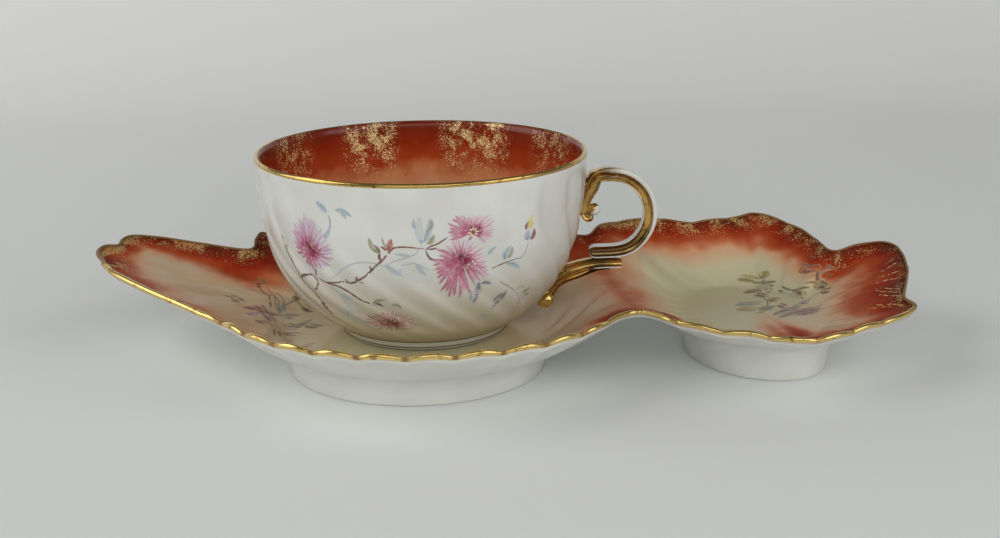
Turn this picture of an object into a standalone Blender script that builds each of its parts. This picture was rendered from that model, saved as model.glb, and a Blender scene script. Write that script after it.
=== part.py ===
"""Fluted porcelain breakfast cup standing in its two-lobed saucer.

Metres, +Z up. The origin is on the table under the middle of the set. +X runs along the saucer,
from its leaf-shaped tip to the side dish, and the cup's handle points along +X. The cup and the
saucer are two separate castings, each put together from its own pieces before the glaze firing.
"""

import math

import bmesh
import bpy
from mathutils import Vector

# Driving dimensions of the whole set

JOINT_GAP = 0.0003  # glaze line between two pieces that are luted or gilded together
CUP_AXIS_X = -0.0264  # the cup's axis, from the middle of the set
CUP_AXIS_Y = 0.0

# Driving dimensions of the saucer

SAUCER_FOOT_HEIGHT = 0.0076
MAIN_FOOT_RADIUS = 0.0415  # outside of the foot ring under the cup, on the table
MAIN_FOOT_PLACE = (-0.0025, -0.0030)  # its middle, from the cup's
SIDE_FOOT_HEIGHT = 0.0104
SIDE_FOOT_LONG = 0.0290  # half lengths of the oval foot ring under the side dish
SIDE_FOOT_SHORT = 0.0215
SIDE_FOOT_TURN = math.radians(-72)  # of the oval's long axis, from +X
FOOT_RING_BASE = 0.0026  # width of a foot ring where it stands
FOOT_RING_ROOT = 0.0042  # width of a foot ring where it joins the dish
DISH_WALL = 0.0036
DISH_EDGE_WALL = 0.0021
MAIN_LOBE_RADIUS = 0.0685
SIDE_LOBE_RADIUS = 0.0500
LOBE_SPACING = 0.1080  # from the cup's axis to the middle of the side dish
SIDE_LOBE_SHIFT = -0.0010  # of the side dish's middle towards the front
RIM_HEIGHT = 0.0239  # of the front edge above the table
BACK_RIM_RISE = 0.0048  # of the edge behind the cup, over the front edge
RIDGE_HEIGHT = 0.0195  # of the saddle between the two wells, at its lowest
SCALLOP_PITCH = 0.0140
SCALLOP_DEPTH = 0.0006  # of a scallop in plan
SCALLOP_RISE = 0.0011  # of a scallop's crown over its cusps
RIDGE_BULGE = 0.0035  # of the saddle towards the side dish
GILT_EDGE_RADIUS = 0.0009
DISH_FLUTES = 24
DISH_FLUTE_DEPTH = 0.0005
MAIN_FLUTE_SWIRL = math.radians(41)  # turn of a flute from the well's floor out to the edge
SIDE_FLUTE_SWIRL = math.radians(6)

# Driving dimensions of the cup

CUP_HEIGHT = 0.0584  # from the foot to the gilded lip
CUP_RIM_RADIUS = 0.0525
CUP_FOOT_RADIUS = 0.0264  # outside of the foot ring, where it stands
CUP_FOOT_FLARE = 0.0014  # how much wider the foot ring is at its top
CUP_FOOT_HEIGHT = 0.0026
CUP_FOOT_WIDTH = 0.0032
CUP_WALL = 0.0026
CUP_LIP_WALL = 0.0020
CUP_FLUTES = 24
CUP_FLUTE_DEPTH = 0.0006
CUP_FLUTE_SWIRL = math.radians(60)  # turn of a flute from the shoulder down to the foot
LIP_BAND_HEIGHT = 0.0013  # of the gilded lip

# Driving dimensions of the handle

SCROLL_TOP_DROP = 0.0092  # of the scroll's highest middle line, under the lip
SCROLL_REACH = 0.0210  # of the scroll's middle line out from the wall
SCROLL_DROP = 0.0254  # from the scroll's highest to its lowest middle line
SCROLL_DEPTH = 0.0050  # of the strap, towards the fingers
SCROLL_WIDTH = 0.0058  # of the strap, along the cup's side
SCROLL_CHANNEL = 0.0006  # depth of the gilded channel along each side
SCROLL_END_SCALE = 0.84  # depth of the strap at its free end
VOLUTE_DROP = 0.0115  # from the scroll's highest middle line to the upper pearl
VOLUTE_SCALE = 0.36  # depth of the strap at the volute's tip
BRACKET_DEPTH = 0.0036
BRACKET_WIDTH = 0.0050
BRACKET_LENGTH = 0.0190  # of the bracket's ledge out from the wall
BRACKET_TAIL_SCALE = 0.50
UPPER_PEARL_RADIUS = 0.0020
LOWER_PEARL_RADIUS = 0.0026
LOWER_PEARL_HEIGHT = 0.0075  # of the lower pearl's middle over the cup's foot

# The saucer's edge, going anticlockwise: (angle in degrees, reach past the lobe's radius,
# rise over the front edge). The leaf and the small scroll stand on the cup's lobe.

EDGE_SCROLL = ((137.0, 0.0010, 0.0048), (140.2, 0.0068, 0.0074), (144.0, 0.0052, 0.0066))
LEAF = (
    (148.8, 0.0033, 0.0043), (152.5, 0.0185, 0.0058), (155.0, 0.0335, 0.0076),
    (157.3, 0.0420, 0.0086), (159.6, 0.0436, 0.0083), (162.2, 0.0424, 0.0074),
    (164.0, 0.0452, 0.0079), (166.0, 0.0458, 0.0074), (168.0, 0.0440, 0.0070),
    (170.6, 0.0402, 0.0064), (173.2, 0.0378, 0.0063), (178.0, 0.0315, 0.0056),
    (186.6, 0.0188, 0.0038), (194.0, 0.0100, 0.0022), (202.0, 0.0038, 0.0008),
)
FRONT_ARC = (210.0, 330.0)
BACK_ARC = (48.0, 132.0)
ARC_STEP = 12.0
WAIST_BACK = (37.8, 0.0032, 0.0056)
WAIST_FRONT = (335.8, 0.0037, 0.0)
SIDE_EDGE = (
    (220.0, -0.0010, 0.0), (230.0, -0.0010, -0.0005), (247.0, -0.0025, -0.0019),
    (259.0, -0.0034, -0.0024), (272.0, 0.0003, -0.0029), (284.0, 0.0003, -0.0029),
    (302.0, -0.0028, -0.0029), (322.0, -0.0010, -0.0029), (335.0, 0.0008, -0.0024),
    (345.0, -0.0028, -0.0019), (362.0, 0.0005, 0.0), (373.0, 0.0050, 0.0014),
    (388.0, 0.0132, 0.0028), (395.0, 0.0138, 0.0033), (399.5, 0.0065, 0.0028),
    (403.5, -0.0045, 0.0019), (415.0, 0.0010, 0.0038), (425.0, 0.0075, 0.0057),
    (438.0, 0.0162, 0.0076), (445.0, 0.0098, 0.0076), (456.0, 0.0057, 0.0076),
    (466.0, 0.0046, 0.0076), (474.0, 0.0095, 0.0086), (482.0, 0.0135, 0.0086),
    (493.0, 0.0168, 0.0082),
)

# How strong the scallops are round each lobe: (angle in degrees, share of their full size)

MAIN_SCALLOPS = (
    (37.8, 0.3), (132.0, 0.2), (140.0, 0.0), (201.0, 0.0), (205.0, 1.0), (318.0, 1.0),
    (327.0, 0.5), (336.0, 0.1),
)
SIDE_SCALLOPS = (
    (214.0, 0.1), (226.0, 0.3), (240.0, 0.6), (306.0, 0.6), (334.0, 0.2), (390.0, 0.1),
    (499.0, 0.3),
)

# How the wall rises from the floor to the edge: (angle in degrees, exponent), hollow above 1

MAIN_BENDS = (
    (37.8, 1.5), (130.0, 1.4), (140.0, 1.2), (152.0, 1.0), (163.0, 0.85), (174.0, 0.85),
    (184.0, 0.9), (196.0, 1.0), (205.0, 1.2), (214.0, 1.4), (336.0, 1.5),
)
SIDE_BENDS = (
    (214.0, 1.5), (246.0, 1.4), (286.0, 1.3), (322.0, 1.2), (365.0, 1.3), (390.0, 1.4),
    (420.0, 1.6), (465.0, 1.6), (499.0, 1.5),
)
SEAM_BEND = 1.5

# How finely the pieces are faceted

STEPS_PER_SCALLOP = 4
SEAM_STEPS = 12
DISH_RINGS = 5
STEPS_PER_FLUTE = 4
FOOT_STEPS = 48
HANDLE_STEPS = 22

# Heights that follow from the sizes above

DISH_FLOOR = SAUCER_FOOT_HEIGHT + JOINT_GAP + DISH_WALL
SIDE_FLOOR = SIDE_FOOT_HEIGHT + JOINT_GAP + DISH_WALL
CUP_BASE = DISH_FLOOR + JOINT_GAP
BOWL_BASE = CUP_FOOT_HEIGHT + JOINT_GAP  # from the cup's foot
BOWL_TOP = CUP_HEIGHT - LIP_BAND_HEIGHT - JOINT_GAP


def clear_scene():
    for thing in list(bpy.data.objects):
        bpy.data.objects.remove(thing)


def new_collection(name):
    made = bpy.data.collections.new(name)
    bpy.context.scene.collection.children.link(made)
    return made


def new_material(name, colour, roughness, metallic=0.0):
    made = bpy.data.materials.new(name)
    made.use_nodes = True
    shader = made.node_tree.nodes["Principled BSDF"]
    shader.inputs["Base Color"].default_value = (*colour, 1.0)
    shader.inputs["Roughness"].default_value = roughness
    shader.inputs["Metallic"].default_value = metallic
    made.diffuse_color = (*colour, 1.0)
    return made


def new_frame(name, place):
    frame = bpy.data.objects.new(name, None)
    frame.location = place
    pieces.objects.link(frame)
    return frame


def place(thing, frame, material, smooth_angle=40.0):
    """Puts a piece in its frame with its finish, shaded smooth away from its sharp edges."""
    thing.parent = frame
    thing.data.materials.append(material)
    if thing.type == "MESH":
        thing.data.shade_smooth()
        thing.data.set_sharp_from_angle(angle=math.radians(smooth_angle))
    return thing


def lofted(name, rings, collection, wrap=False):
    """A skin over rings of equally many points: closed by caps, or joined end to end by wrap."""
    skin = bmesh.new()
    loops = [[skin.verts.new(point) for point in ring] for ring in rings]
    pairs = list(zip(loops, loops[1:]))
    if wrap:
        pairs.append((loops[-1], loops[0]))
    else:
        skin.faces.new(reversed(loops[0]))
        skin.faces.new(loops[-1])
    for low, high in pairs:
        for k in range(len(low)):
            after = (k + 1) % len(low)
            skin.faces.new((low[k], low[after], high[after], high[k]))
    mesh = bpy.data.meshes.new(name)
    skin.to_mesh(mesh)
    skin.free()
    made = bpy.data.objects.new(name, mesh)
    collection.objects.link(made)
    return made


def turned(name, profile, steps):
    """A ring turned from a closed profile of (radius, height), which runs down its outer side."""
    mesh = bpy.data.meshes.new(name)
    count = len(profile)
    edges = [(k, (k + 1) % count) for k in range(count)]
    mesh.from_pydata([(radius, 0.0, height) for radius, height in profile], edges, [])
    made = bpy.data.objects.new(name, mesh)
    pieces.objects.link(made)
    turn = made.modifiers.new("turn", "SCREW")
    turn.axis = "Z"
    turn.steps = steps
    turn.render_steps = steps
    turn.use_merge_vertices = True
    turn.merge_threshold = 0.00001
    turn.use_smooth_shade = True
    return made


def smooth_curve(points, samples):
    """Catmull-Rom spans through points[1:-1], as that many evenly spaced points without the last."""
    fine = []
    for before, start, end, after in zip(points, points[1:], points[2:], points[3:]):
        for k in range(24):
            t = k / 24
            fine.append(0.5 * (
                2 * start + (end - before) * t
                + (2 * before - 5 * start + 4 * end - after) * t * t
                + (3 * start - before - 3 * end + after) * t ** 3
            ))
    fine.append(points[-2].copy())
    lengths = [0.0]
    for a, b in zip(fine, fine[1:]):
        lengths.append(lengths[-1] + (b - a).length)
    spaced = []
    at = 0
    for k in range(samples):
        wanted = lengths[-1] * k / samples
        while lengths[at + 1] < wanted:
            at += 1
        share = (wanted - lengths[at]) / (lengths[at + 1] - lengths[at])
        spaced.append(fine[at].lerp(fine[at + 1], share))
    return spaced


def curve_length(points):
    return sum((b - a).length for a, b in zip(points, points[1:]))


def ease(t):
    """0 to 1 with a level start and end."""
    t = min(max(t, 0.0), 1.0)
    return t * t * (3 - 2 * t)


def interpolate(table, value):
    """The straight line between the rows (place, height) of a table, at that place."""
    for (low, a), (high, b) in zip(table, table[1:]):
        if value <= high:
            return a + (b - a) * max(value - low, 0.0) / (high - low)
    return table[-1][1]


# The saucer's edge line

SIDE_MIDDLE = Vector((LOBE_SPACING, SIDE_LOBE_SHIFT, 0.0))


def edge_point(middle, radius, station):
    degrees, reach, rise = station
    angle = math.radians(degrees)
    out = Vector((math.cos(angle), math.sin(angle), 0.0)) * (radius + reach)
    return middle + out + Vector((0.0, 0.0, RIM_HEIGHT + rise))


def arc_stations(span, rise):
    count = round((span[1] - span[0]) / ARC_STEP)
    step = (span[1] - span[0]) / count
    return [(span[0] + k * step, 0.0, rise) for k in range(count + 1)]


def edge_line():
    """The edge's two stretches, round the cup's lobe and round the side dish, back to front to back."""
    main_stations = [WAIST_BACK, *arc_stations(BACK_ARC, BACK_RIM_RISE), *EDGE_SCROLL, *LEAF]
    main_stations += [*arc_stations(FRONT_ARC, 0.0), WAIST_FRONT]
    main = [edge_point(Vector(), MAIN_LOBE_RADIUS, s) for s in main_stations]
    side = [main[-1], *(edge_point(SIDE_MIDDLE, SIDE_LOBE_RADIUS, s) for s in SIDE_EDGE), main[0]]
    stretches = []
    for line, before, after in ((main, side[-2], side[1]), (side, main[-2], main[1])):
        scallops = round(curve_length(line) / SCALLOP_PITCH)
        steps = scallops * STEPS_PER_SCALLOP
        stretches.append(smooth_curve([before, *line, after], steps))
    return stretches


def round_lobe(stretch, middle, table):
    """A table's value at each point of a stretch, by its angle round the lobe's middle."""
    values = []
    turn = 0.0
    for point in stretch:
        degrees = math.degrees(math.atan2(point.y - middle.y, point.x - middle.x)) % 360
        turn = degrees + 360 if degrees < turn - 180 else degrees
        values.append(interpolate(table, turn))
    return values


def scalloped(line, shares):
    """The closed edge line with its small cusped scallops, as strong as the shares say."""
    made = []
    for k, point in enumerate(line):
        before, after = line[k - 1], line[(k + 1) % len(line)]
        out = Vector((after.y - before.y, before.x - after.x, 0.0)).normalized()
        wave = (abs(math.sin(math.pi * k / STEPS_PER_SCALLOP)) - 0.6) * shares[k]
        made.append(point + out * SCALLOP_DEPTH * wave + Vector((0.0, 0.0, SCALLOP_RISE * wave)))
    return made


def inset(line, distance):
    """The closed line moved inwards in plan, with its corners mitred."""
    made = []
    for k, point in enumerate(line):
        back = (point - line[k - 1]).xy.normalized()
        ahead = (line[(k + 1) % len(line)] - point).xy.normalized()
        along = (back + ahead).normalized()
        mitre = max(along.dot(ahead), 0.5)
        made.append(point + Vector((-along.y, along.x, 0.0)) * (distance / mitre))
    return made


# The saucer


def dish_rings(boundary, floor_point, seam_share, bends, middle, swirl):
    """Rings of the dish's upper face, from the level floor of a well out to its boundary."""
    rings = []
    for ring in range(DISH_RINGS + 1):
        u = ring / DISH_RINGS
        points = []
        for edge, share, bend in zip(boundary, seam_share, bends):
            angle = math.atan2(edge.y - middle.y, edge.x - middle.x)
            start = floor_point(angle)
            rise = (1 - share) * u ** bend + share * ease(u)
            turn = swirl * (1 - (1 - u) ** 2)
            wave = math.cos(DISH_FLUTES * (angle - turn)) * u * (1 - u) * 4
            height = start.z + (edge.z - start.z) * rise + DISH_FLUTE_DEPTH * wave * (1 - share)
            point = start.lerp(edge, u)
            points.append(Vector((point.x, point.y, height)))
        rings.append(points)
    return rings


def oval_point(angle, grow):
    """A point of the side foot's oval, grown by that much, in the direction of angle."""
    turned_by = angle - SIDE_FOOT_TURN
    long, short = SIDE_FOOT_LONG + grow, SIDE_FOOT_SHORT + grow
    reach = 1 / math.hypot(math.cos(turned_by) / long, math.sin(turned_by) / short)
    return SIDE_MIDDLE + Vector((math.cos(angle), math.sin(angle), 0.0)) * reach


def make_dish(frame, finish):
    """The two-lobed dish: one loft from each well's floor to the edge, joined along the ridge."""
    stretches = edge_line()
    count = len(stretches[0])
    shares = round_lobe(stretches[0], Vector(), MAIN_SCALLOPS)
    shares += round_lobe(stretches[1], SIDE_MIDDLE, SIDE_SCALLOPS)
    bends = round_lobe(stretches[0], Vector(), MAIN_BENDS)
    bends += round_lobe(stretches[1], SIDE_MIDDLE, SIDE_BENDS)
    line = scalloped(stretches[0] + stretches[1], shares)
    edge = inset(line, GILT_EDGE_RADIUS + JOINT_GAP)
    front, back = edge[count], edge[0]
    seam = []
    for k in range(1, SEAM_STEPS):
        t = k / SEAM_STEPS
        point = front.lerp(back, t)
        sag = (point.z - RIDGE_HEIGHT) * (1 - abs(2 * t - 1) ** 2.5)
        seam.append(point + Vector((RIDGE_BULGE * (1 - (2 * t - 1) ** 2), 0.0, -sag)))
    seam_share = [1 - abs(2 * k / SEAM_STEPS - 1) ** 3 for k in range(1, SEAM_STEPS)]

    main_middle = Vector((*MAIN_FOOT_PLACE, DISH_FLOOR))
    main_floor = MAIN_FOOT_RADIUS - FOOT_RING_ROOT / 2

    def main_floor_point(angle):
        return Vector((math.cos(angle), math.sin(angle), 0.0)) * main_floor + main_middle

    def side_floor_point(angle):
        return oval_point(angle, -FOOT_RING_ROOT / 2) + Vector((0.0, 0.0, SIDE_FLOOR))

    main_edge = edge[: count + 1] + seam
    side_edge = [*edge[count:], edge[0], *reversed(seam)]
    main_share = [0.0] * (count + 1) + seam_share
    side_share = [0.0] * (len(edge) - count + 1) + seam_share[::-1]
    main_bends = bends[: count + 1] + [SEAM_BEND] * len(seam)
    side_bends = [*bends[count:], bends[0], *[SEAM_BEND] * len(seam)]
    wells = (
        dish_rings(main_edge, main_floor_point, main_share, main_bends, Vector(), MAIN_FLUTE_SWIRL),
        dish_rings(side_edge, side_floor_point, side_share, side_bends, SIDE_MIDDLE, SIDE_FLUTE_SWIRL),
    )

    skin = bmesh.new()
    shared = {}
    thick = []
    for rings in wells:
        loops = []
        for ring, points in enumerate(rings):
            loop = []
            for point in points:
                key = tuple(round(value, 7) for value in point)
                if key not in shared:
                    shared[key] = skin.verts.new(point)
                    thinner = (DISH_WALL - DISH_EDGE_WALL) * (ring / DISH_RINGS) ** 2
                    thick.append((shared[key], DISH_WALL - thinner))
                loop.append(shared[key])
            loops.append(loop)
        skin.faces.new(loops[0])
        for low, high in zip(loops, loops[1:]):
            for k in range(len(low)):
                after = (k + 1) % len(low)
                skin.faces.new((low[k], high[k], high[after], low[after]))
    under = [skin.verts.new(vert.co - Vector((0.0, 0.0, wall))) for vert, wall in thick]
    below = {vert: low for (vert, wall), low in zip(thick, under)}
    outer = [edge for edge in skin.edges if len(edge.link_faces) == 1]
    for face in list(skin.faces):
        skin.faces.new([below[vert] for vert in reversed(face.verts)])
    for edge in outer:
        start, end = edge.verts
        skin.faces.new((start, end, below[end], below[start]))
    bmesh.ops.recalc_face_normals(skin, faces=skin.faces)
    mesh = bpy.data.meshes.new("saucer_dish")
    skin.to_mesh(mesh)
    skin.free()
    dish = bpy.data.objects.new("saucer_dish", mesh)
    pieces.objects.link(dish)
    place(dish, frame, finish)
    return line


def make_gilt_edge(line, frame, finish):
    """The rolled edge of the saucer, gilded all the way round."""
    curve = bpy.data.curves.new("saucer_gilt_edge", "CURVE")
    curve.dimensions = "3D"
    curve.bevel_depth = GILT_EDGE_RADIUS
    curve.bevel_resolution = 1
    spline = curve.splines.new("POLY")
    spline.points.add(len(line) - 1)
    for point, target in zip(spline.points, line):
        point.co = (*target, 1.0)
    spline.use_cyclic_u = True
    made = bpy.data.objects.new("saucer_gilt_edge", curve)
    pieces.objects.link(made)
    place(made, frame, finish)


def make_saucer_feet(frame, finish):
    """The two foot rings, each with a slightly drawn-in wall, that carry the dish."""
    main = turned("saucer_main_foot", (
        (MAIN_FOOT_RADIUS, SAUCER_FOOT_HEIGHT),
        (MAIN_FOOT_RADIUS, 0.0),
        (MAIN_FOOT_RADIUS - FOOT_RING_BASE, 0.0),
        (MAIN_FOOT_RADIUS - FOOT_RING_ROOT, SAUCER_FOOT_HEIGHT),
    ), FOOT_STEPS)
    main.location.xy = MAIN_FOOT_PLACE
    place(main, frame, finish)

    angles = [math.tau * k / FOOT_STEPS for k in range(FOOT_STEPS)]
    top = SIDE_FOOT_HEIGHT
    section = ((0.0, 0.0), (0.0, top), (-FOOT_RING_ROOT, top), (-FOOT_RING_BASE, 0.0))
    rings = []
    for grow, height in section:
        rings.append([oval_point(a, grow) + Vector((0.0, 0.0, height)) for a in angles])
    side = lofted("saucer_side_foot", rings, pieces, wrap=True)
    place(side, frame, finish)


# The cup

BOWL_CURVE = (  # (share of the bowl's height, share of the way from the foot to the rim)
    (0.000, 0.00), (0.045, 0.16), (0.105, 0.34), (0.195, 0.53), (0.295, 0.68),
    (0.405, 0.795), (0.520, 0.875), (0.660, 0.94), (0.820, 0.98), (1.000, 1.00),
)


def wall_radius(height):
    """The bowl's outer radius at a height over the cup's foot, flutes left out."""
    share = min(max((height - BOWL_BASE) / (BOWL_TOP - BOWL_BASE), 0.0), 1.0)
    foot = CUP_FOOT_RADIUS + CUP_FOOT_FLARE
    return foot + (CUP_RIM_RADIUS - foot) * interpolate(BOWL_CURVE, share)


def bowl_ring(height, draw_in, steps):
    """A ring of the fluted bowl: the flutes run straight under the rim and swirl towards the foot."""
    share = (height - BOWL_BASE) / (BOWL_TOP - BOWL_BASE)
    swirl = CUP_FLUTE_SWIRL * max(1 - share / 0.8, 0.0) ** 1.6
    depth = CUP_FLUTE_DEPTH * ease(share / 0.2) * ease((1 - share) / 0.25)
    points = []
    for k in range(steps):
        angle = math.tau * k / steps
        radius = wall_radius(height) - draw_in - depth * (0.5 - 0.5 * math.cos(CUP_FLUTES * angle))
        turn = angle + swirl
        points.append(Vector((radius * math.cos(turn), radius * math.sin(turn), height)))
    return points


def level_ring(radius, height, steps, turn):
    angles = [math.tau * k / steps + turn for k in range(steps)]
    return [Vector((radius * math.cos(a), radius * math.sin(a), height)) for a in angles]


def bowl_heights():
    return [BOWL_BASE + (BOWL_TOP - BOWL_BASE) * share for share, _ in BOWL_CURVE]


def make_bowl(frame, finish):
    steps = CUP_FLUTES * STEPS_PER_FLUTE
    heights = bowl_heights()
    rings = [bowl_ring(height, 0.0, steps) for height in heights]
    floor = BOWL_BASE + CUP_WALL
    lip = CUP_WALL - CUP_LIP_WALL
    for height in heights[:3:-2]:
        share = (height - BOWL_BASE) / (BOWL_TOP - BOWL_BASE)
        rings.append(bowl_ring(height, CUP_WALL - lip * share ** 2, steps))
    rings.append(bowl_ring(floor + CUP_WALL * 2, CUP_WALL, steps))
    inner = wall_radius(floor + CUP_WALL) - 2 * CUP_WALL
    rings.append(level_ring(inner, floor + CUP_WALL * 0.3, steps, CUP_FLUTE_SWIRL))
    rings.append(level_ring(inner * 0.7, floor, steps, CUP_FLUTE_SWIRL))
    place(lofted("cup_bowl", rings, pieces), frame, finish)


def make_cup_foot(frame, finish):
    top = CUP_FOOT_RADIUS + CUP_FOOT_FLARE
    ring = turned("cup_foot_ring", (
        (top, CUP_FOOT_HEIGHT),
        (CUP_FOOT_RADIUS, 0.0),
        (CUP_FOOT_RADIUS - CUP_FOOT_WIDTH, 0.0),
        (top - CUP_FOOT_WIDTH - CUP_FOOT_FLARE, CUP_FOOT_HEIGHT),
    ), FOOT_STEPS)
    place(ring, frame, finish)


def make_gilt_lip(frame, finish):
    """The rounded lip, gilded on its top and its outer side."""
    low = CUP_HEIGHT - LIP_BAND_HEIGHT
    half = CUP_LIP_WALL / 2
    middle = CUP_RIM_RADIUS - half
    profile = [
        (middle + half * math.cos(a), low + LIP_BAND_HEIGHT * (0.35 + 0.65 * math.sin(a)))
        for a in (math.pi, math.pi / 2, 0.0)
    ]
    profile += [(middle + half, low), (middle - half, low)]
    ring = turned("cup_gilt_lip", profile, CUP_FLUTES * STEPS_PER_FLUTE)
    place(ring, frame, finish)


# The handle


def strap(name, path, depth, width, channel, start_scale, end_scale):
    """A channelled strap along a path in the handle's plane, drawn in towards its two ends."""
    half_depth, half_width = depth / 2, width / 2
    section = (
        (half_depth, half_width * 0.55), (half_depth * 0.72, half_width),
        (0.0, half_width - channel), (-half_depth * 0.72, half_width),
        (-half_depth, half_width * 0.55), (-half_depth, -half_width * 0.55),
        (-half_depth * 0.72, -half_width), (0.0, -half_width + channel),
        (half_depth * 0.72, -half_width), (half_depth, -half_width * 0.55),
    )
    rings = []
    for k, point in enumerate(path):
        along = (path[min(k + 1, len(path) - 1)] - path[max(k - 1, 0)]).normalized()
        side = Vector((-along.z, 0.0, along.x))
        t = k / (len(path) - 1)
        thin = 1 - (1 - start_scale) * (1 - ease(t / 0.3)) - (1 - end_scale) * ease((t - 0.5) / 0.5)
        rings.append([point + side * (d * thin) + Vector((0.0, w, 0.0)) for d, w in section])
    return lofted(name, rings, pieces)


def pearl(name, radius, centre):
    ball = bmesh.new()
    bmesh.ops.create_uvsphere(ball, u_segments=14, v_segments=9, radius=radius)
    bmesh.ops.translate(ball, verts=ball.verts, vec=centre)
    mesh = bpy.data.meshes.new(name)
    ball.to_mesh(mesh)
    ball.free()
    made = bpy.data.objects.new(name, mesh)
    pieces.objects.link(made)
    return made


def fit_to(thing, cutter):
    """Trims a piece to its neighbour's surface, which the cutter holds with the joint's gap."""
    cut = thing.modifiers.new("seat", "BOOLEAN")
    cut.operation = "DIFFERENCE"
    cut.solver = "EXACT"
    cut.object = cutter


def make_handle(frame, scroll_finish, gilt_finish):
    steps = CUP_FLUTES * STEPS_PER_FLUTE
    rings = [bowl_ring(height, -JOINT_GAP, steps) for height in bowl_heights()]
    wall = lofted("bowl_cutter", rings, cutters)
    wall.parent = frame
    wall.hide_render = True
    wall.display_type = "WIRE"

    top = CUP_HEIGHT - SCROLL_TOP_DROP
    loop = SCROLL_DROP / 2
    middle = Vector((wall_radius(top) + SCROLL_REACH - loop, 0.0, top - loop))
    volute = top - VOLUTE_DROP
    wrap = UPPER_PEARL_RADIUS + JOINT_GAP + SCROLL_DEPTH * VOLUTE_SCALE * 0.62
    curl = Vector((wall_radius(volute) + wrap * 1.3, 0.0, volute))
    path = []
    for degrees in (-85, -127, -172):
        a = math.radians(degrees)
        path.append(curl + Vector((wrap * math.cos(a), 0.0, wrap * math.sin(a))))
    path.append(Vector((wall_radius(volute) + wrap * 0.5, 0.0, volute + VOLUTE_DROP * 0.29)))
    path.append(Vector((wall_radius(volute) + wrap * 1.0, 0.0, volute + VOLUTE_DROP * 0.60)))
    for degrees in (107, 70, 35, 0, -35, -70):
        a = math.radians(degrees)
        path.append(middle + Vector((loop * math.cos(a), 0.0, loop * math.sin(a))))
    path.append(Vector((wall_radius(top) + SCROLL_DEPTH * 0.25, 0.0, top - SCROLL_DROP)))
    ends = [2 * path[0] - path[1], *path, 2 * path[-1] - path[-2]]
    scroll_line = [*smooth_curve(ends, HANDLE_STEPS), path[-1]]
    scroll = strap(
        "handle_scroll", scroll_line, SCROLL_DEPTH, SCROLL_WIDTH, SCROLL_CHANNEL,
        VOLUTE_SCALE, SCROLL_END_SCALE,
    )
    place(scroll, frame, scroll_finish)
    fit_to(scroll, wall)
    place(pearl("handle_upper_pearl", UPPER_PEARL_RADIUS, curl), frame, gilt_finish)

    ledge = top - SCROLL_DROP - SCROLL_DEPTH / 2 - JOINT_GAP - BRACKET_DEPTH / 2
    half = BRACKET_DEPTH / 2
    lean = BRACKET_DEPTH * BRACKET_TAIL_SCALE * 0.75
    low = LOWER_PEARL_HEIGHT
    drop = Vector((wall_radius(low) + LOWER_PEARL_RADIUS * 1.75, 0.0, low))
    bend = ledge + (low - ledge) * 0.45
    bend_point = Vector((wall_radius(bend) + lean, 0.0, bend))
    route = [
        Vector((wall_radius(ledge) + BRACKET_LENGTH, 0.0, ledge)),
        Vector((wall_radius(ledge) + BRACKET_LENGTH * 0.6, 0.0, ledge)),
        Vector((wall_radius(ledge) + BRACKET_LENGTH * 0.28, 0.0, ledge - half * 0.5)),
        Vector((wall_radius(ledge - half * 1.6) + half, 0.0, ledge - half * 1.6)),
        bend_point,
        drop + (bend_point - drop).normalized() * (LOWER_PEARL_RADIUS + JOINT_GAP),
    ]
    ends = [2 * route[0] - route[1], *route, 2 * route[-1] - route[-2]]
    bracket_line = [*smooth_curve(ends, HANDLE_STEPS), route[-1]]
    bracket = strap(
        "handle_bracket", bracket_line, BRACKET_DEPTH, BRACKET_WIDTH, SCROLL_CHANNEL,
        1.0, BRACKET_TAIL_SCALE,
    )
    place(bracket, frame, gilt_finish)
    fit_to(bracket, wall)
    place(pearl("handle_lower_pearl", LOWER_PEARL_RADIUS, drop), frame, gilt_finish)


clear_scene()
pieces = new_collection("breakfast_cup")
cutters = new_collection("cutters")
cutters.hide_render = True
white = new_material("white_glaze", (0.86, 0.86, 0.83), 0.08)
painted = new_material("painted_glaze", (0.78, 0.55, 0.42), 0.1)
gilt = new_material("fired_gold", (0.80, 0.56, 0.20), 0.22, 1.0)
saucer_frame = new_frame("saucer_frame", (CUP_AXIS_X, CUP_AXIS_Y, 0.0))
cup_frame = new_frame("cup_frame", (CUP_AXIS_X, CUP_AXIS_Y, CUP_BASE))
saucer_edge = make_dish(saucer_frame, painted)
make_gilt_edge(saucer_edge, saucer_frame, gilt)
make_saucer_feet(saucer_frame, white)
make_bowl(cup_frame, white)
make_cup_foot(cup_frame, white)
make_gilt_lip(cup_frame, gilt)
make_handle(cup_frame, white, gilt)
bpy.context.view_layer.update()
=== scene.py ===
"""A swirl-fluted porcelain breakfast cup in its two-lobed saucer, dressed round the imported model.

The sections follow the set as it is put together: the saucer from its dish to its painting, then
the cup from its foot to its handle and its painting, then the table it stands on.
"""

import math
import random

import bmesh
import bpy
import numpy as np
from mathutils import Matrix, Vector
from mathutils.bvhtree import BVHTree


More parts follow.
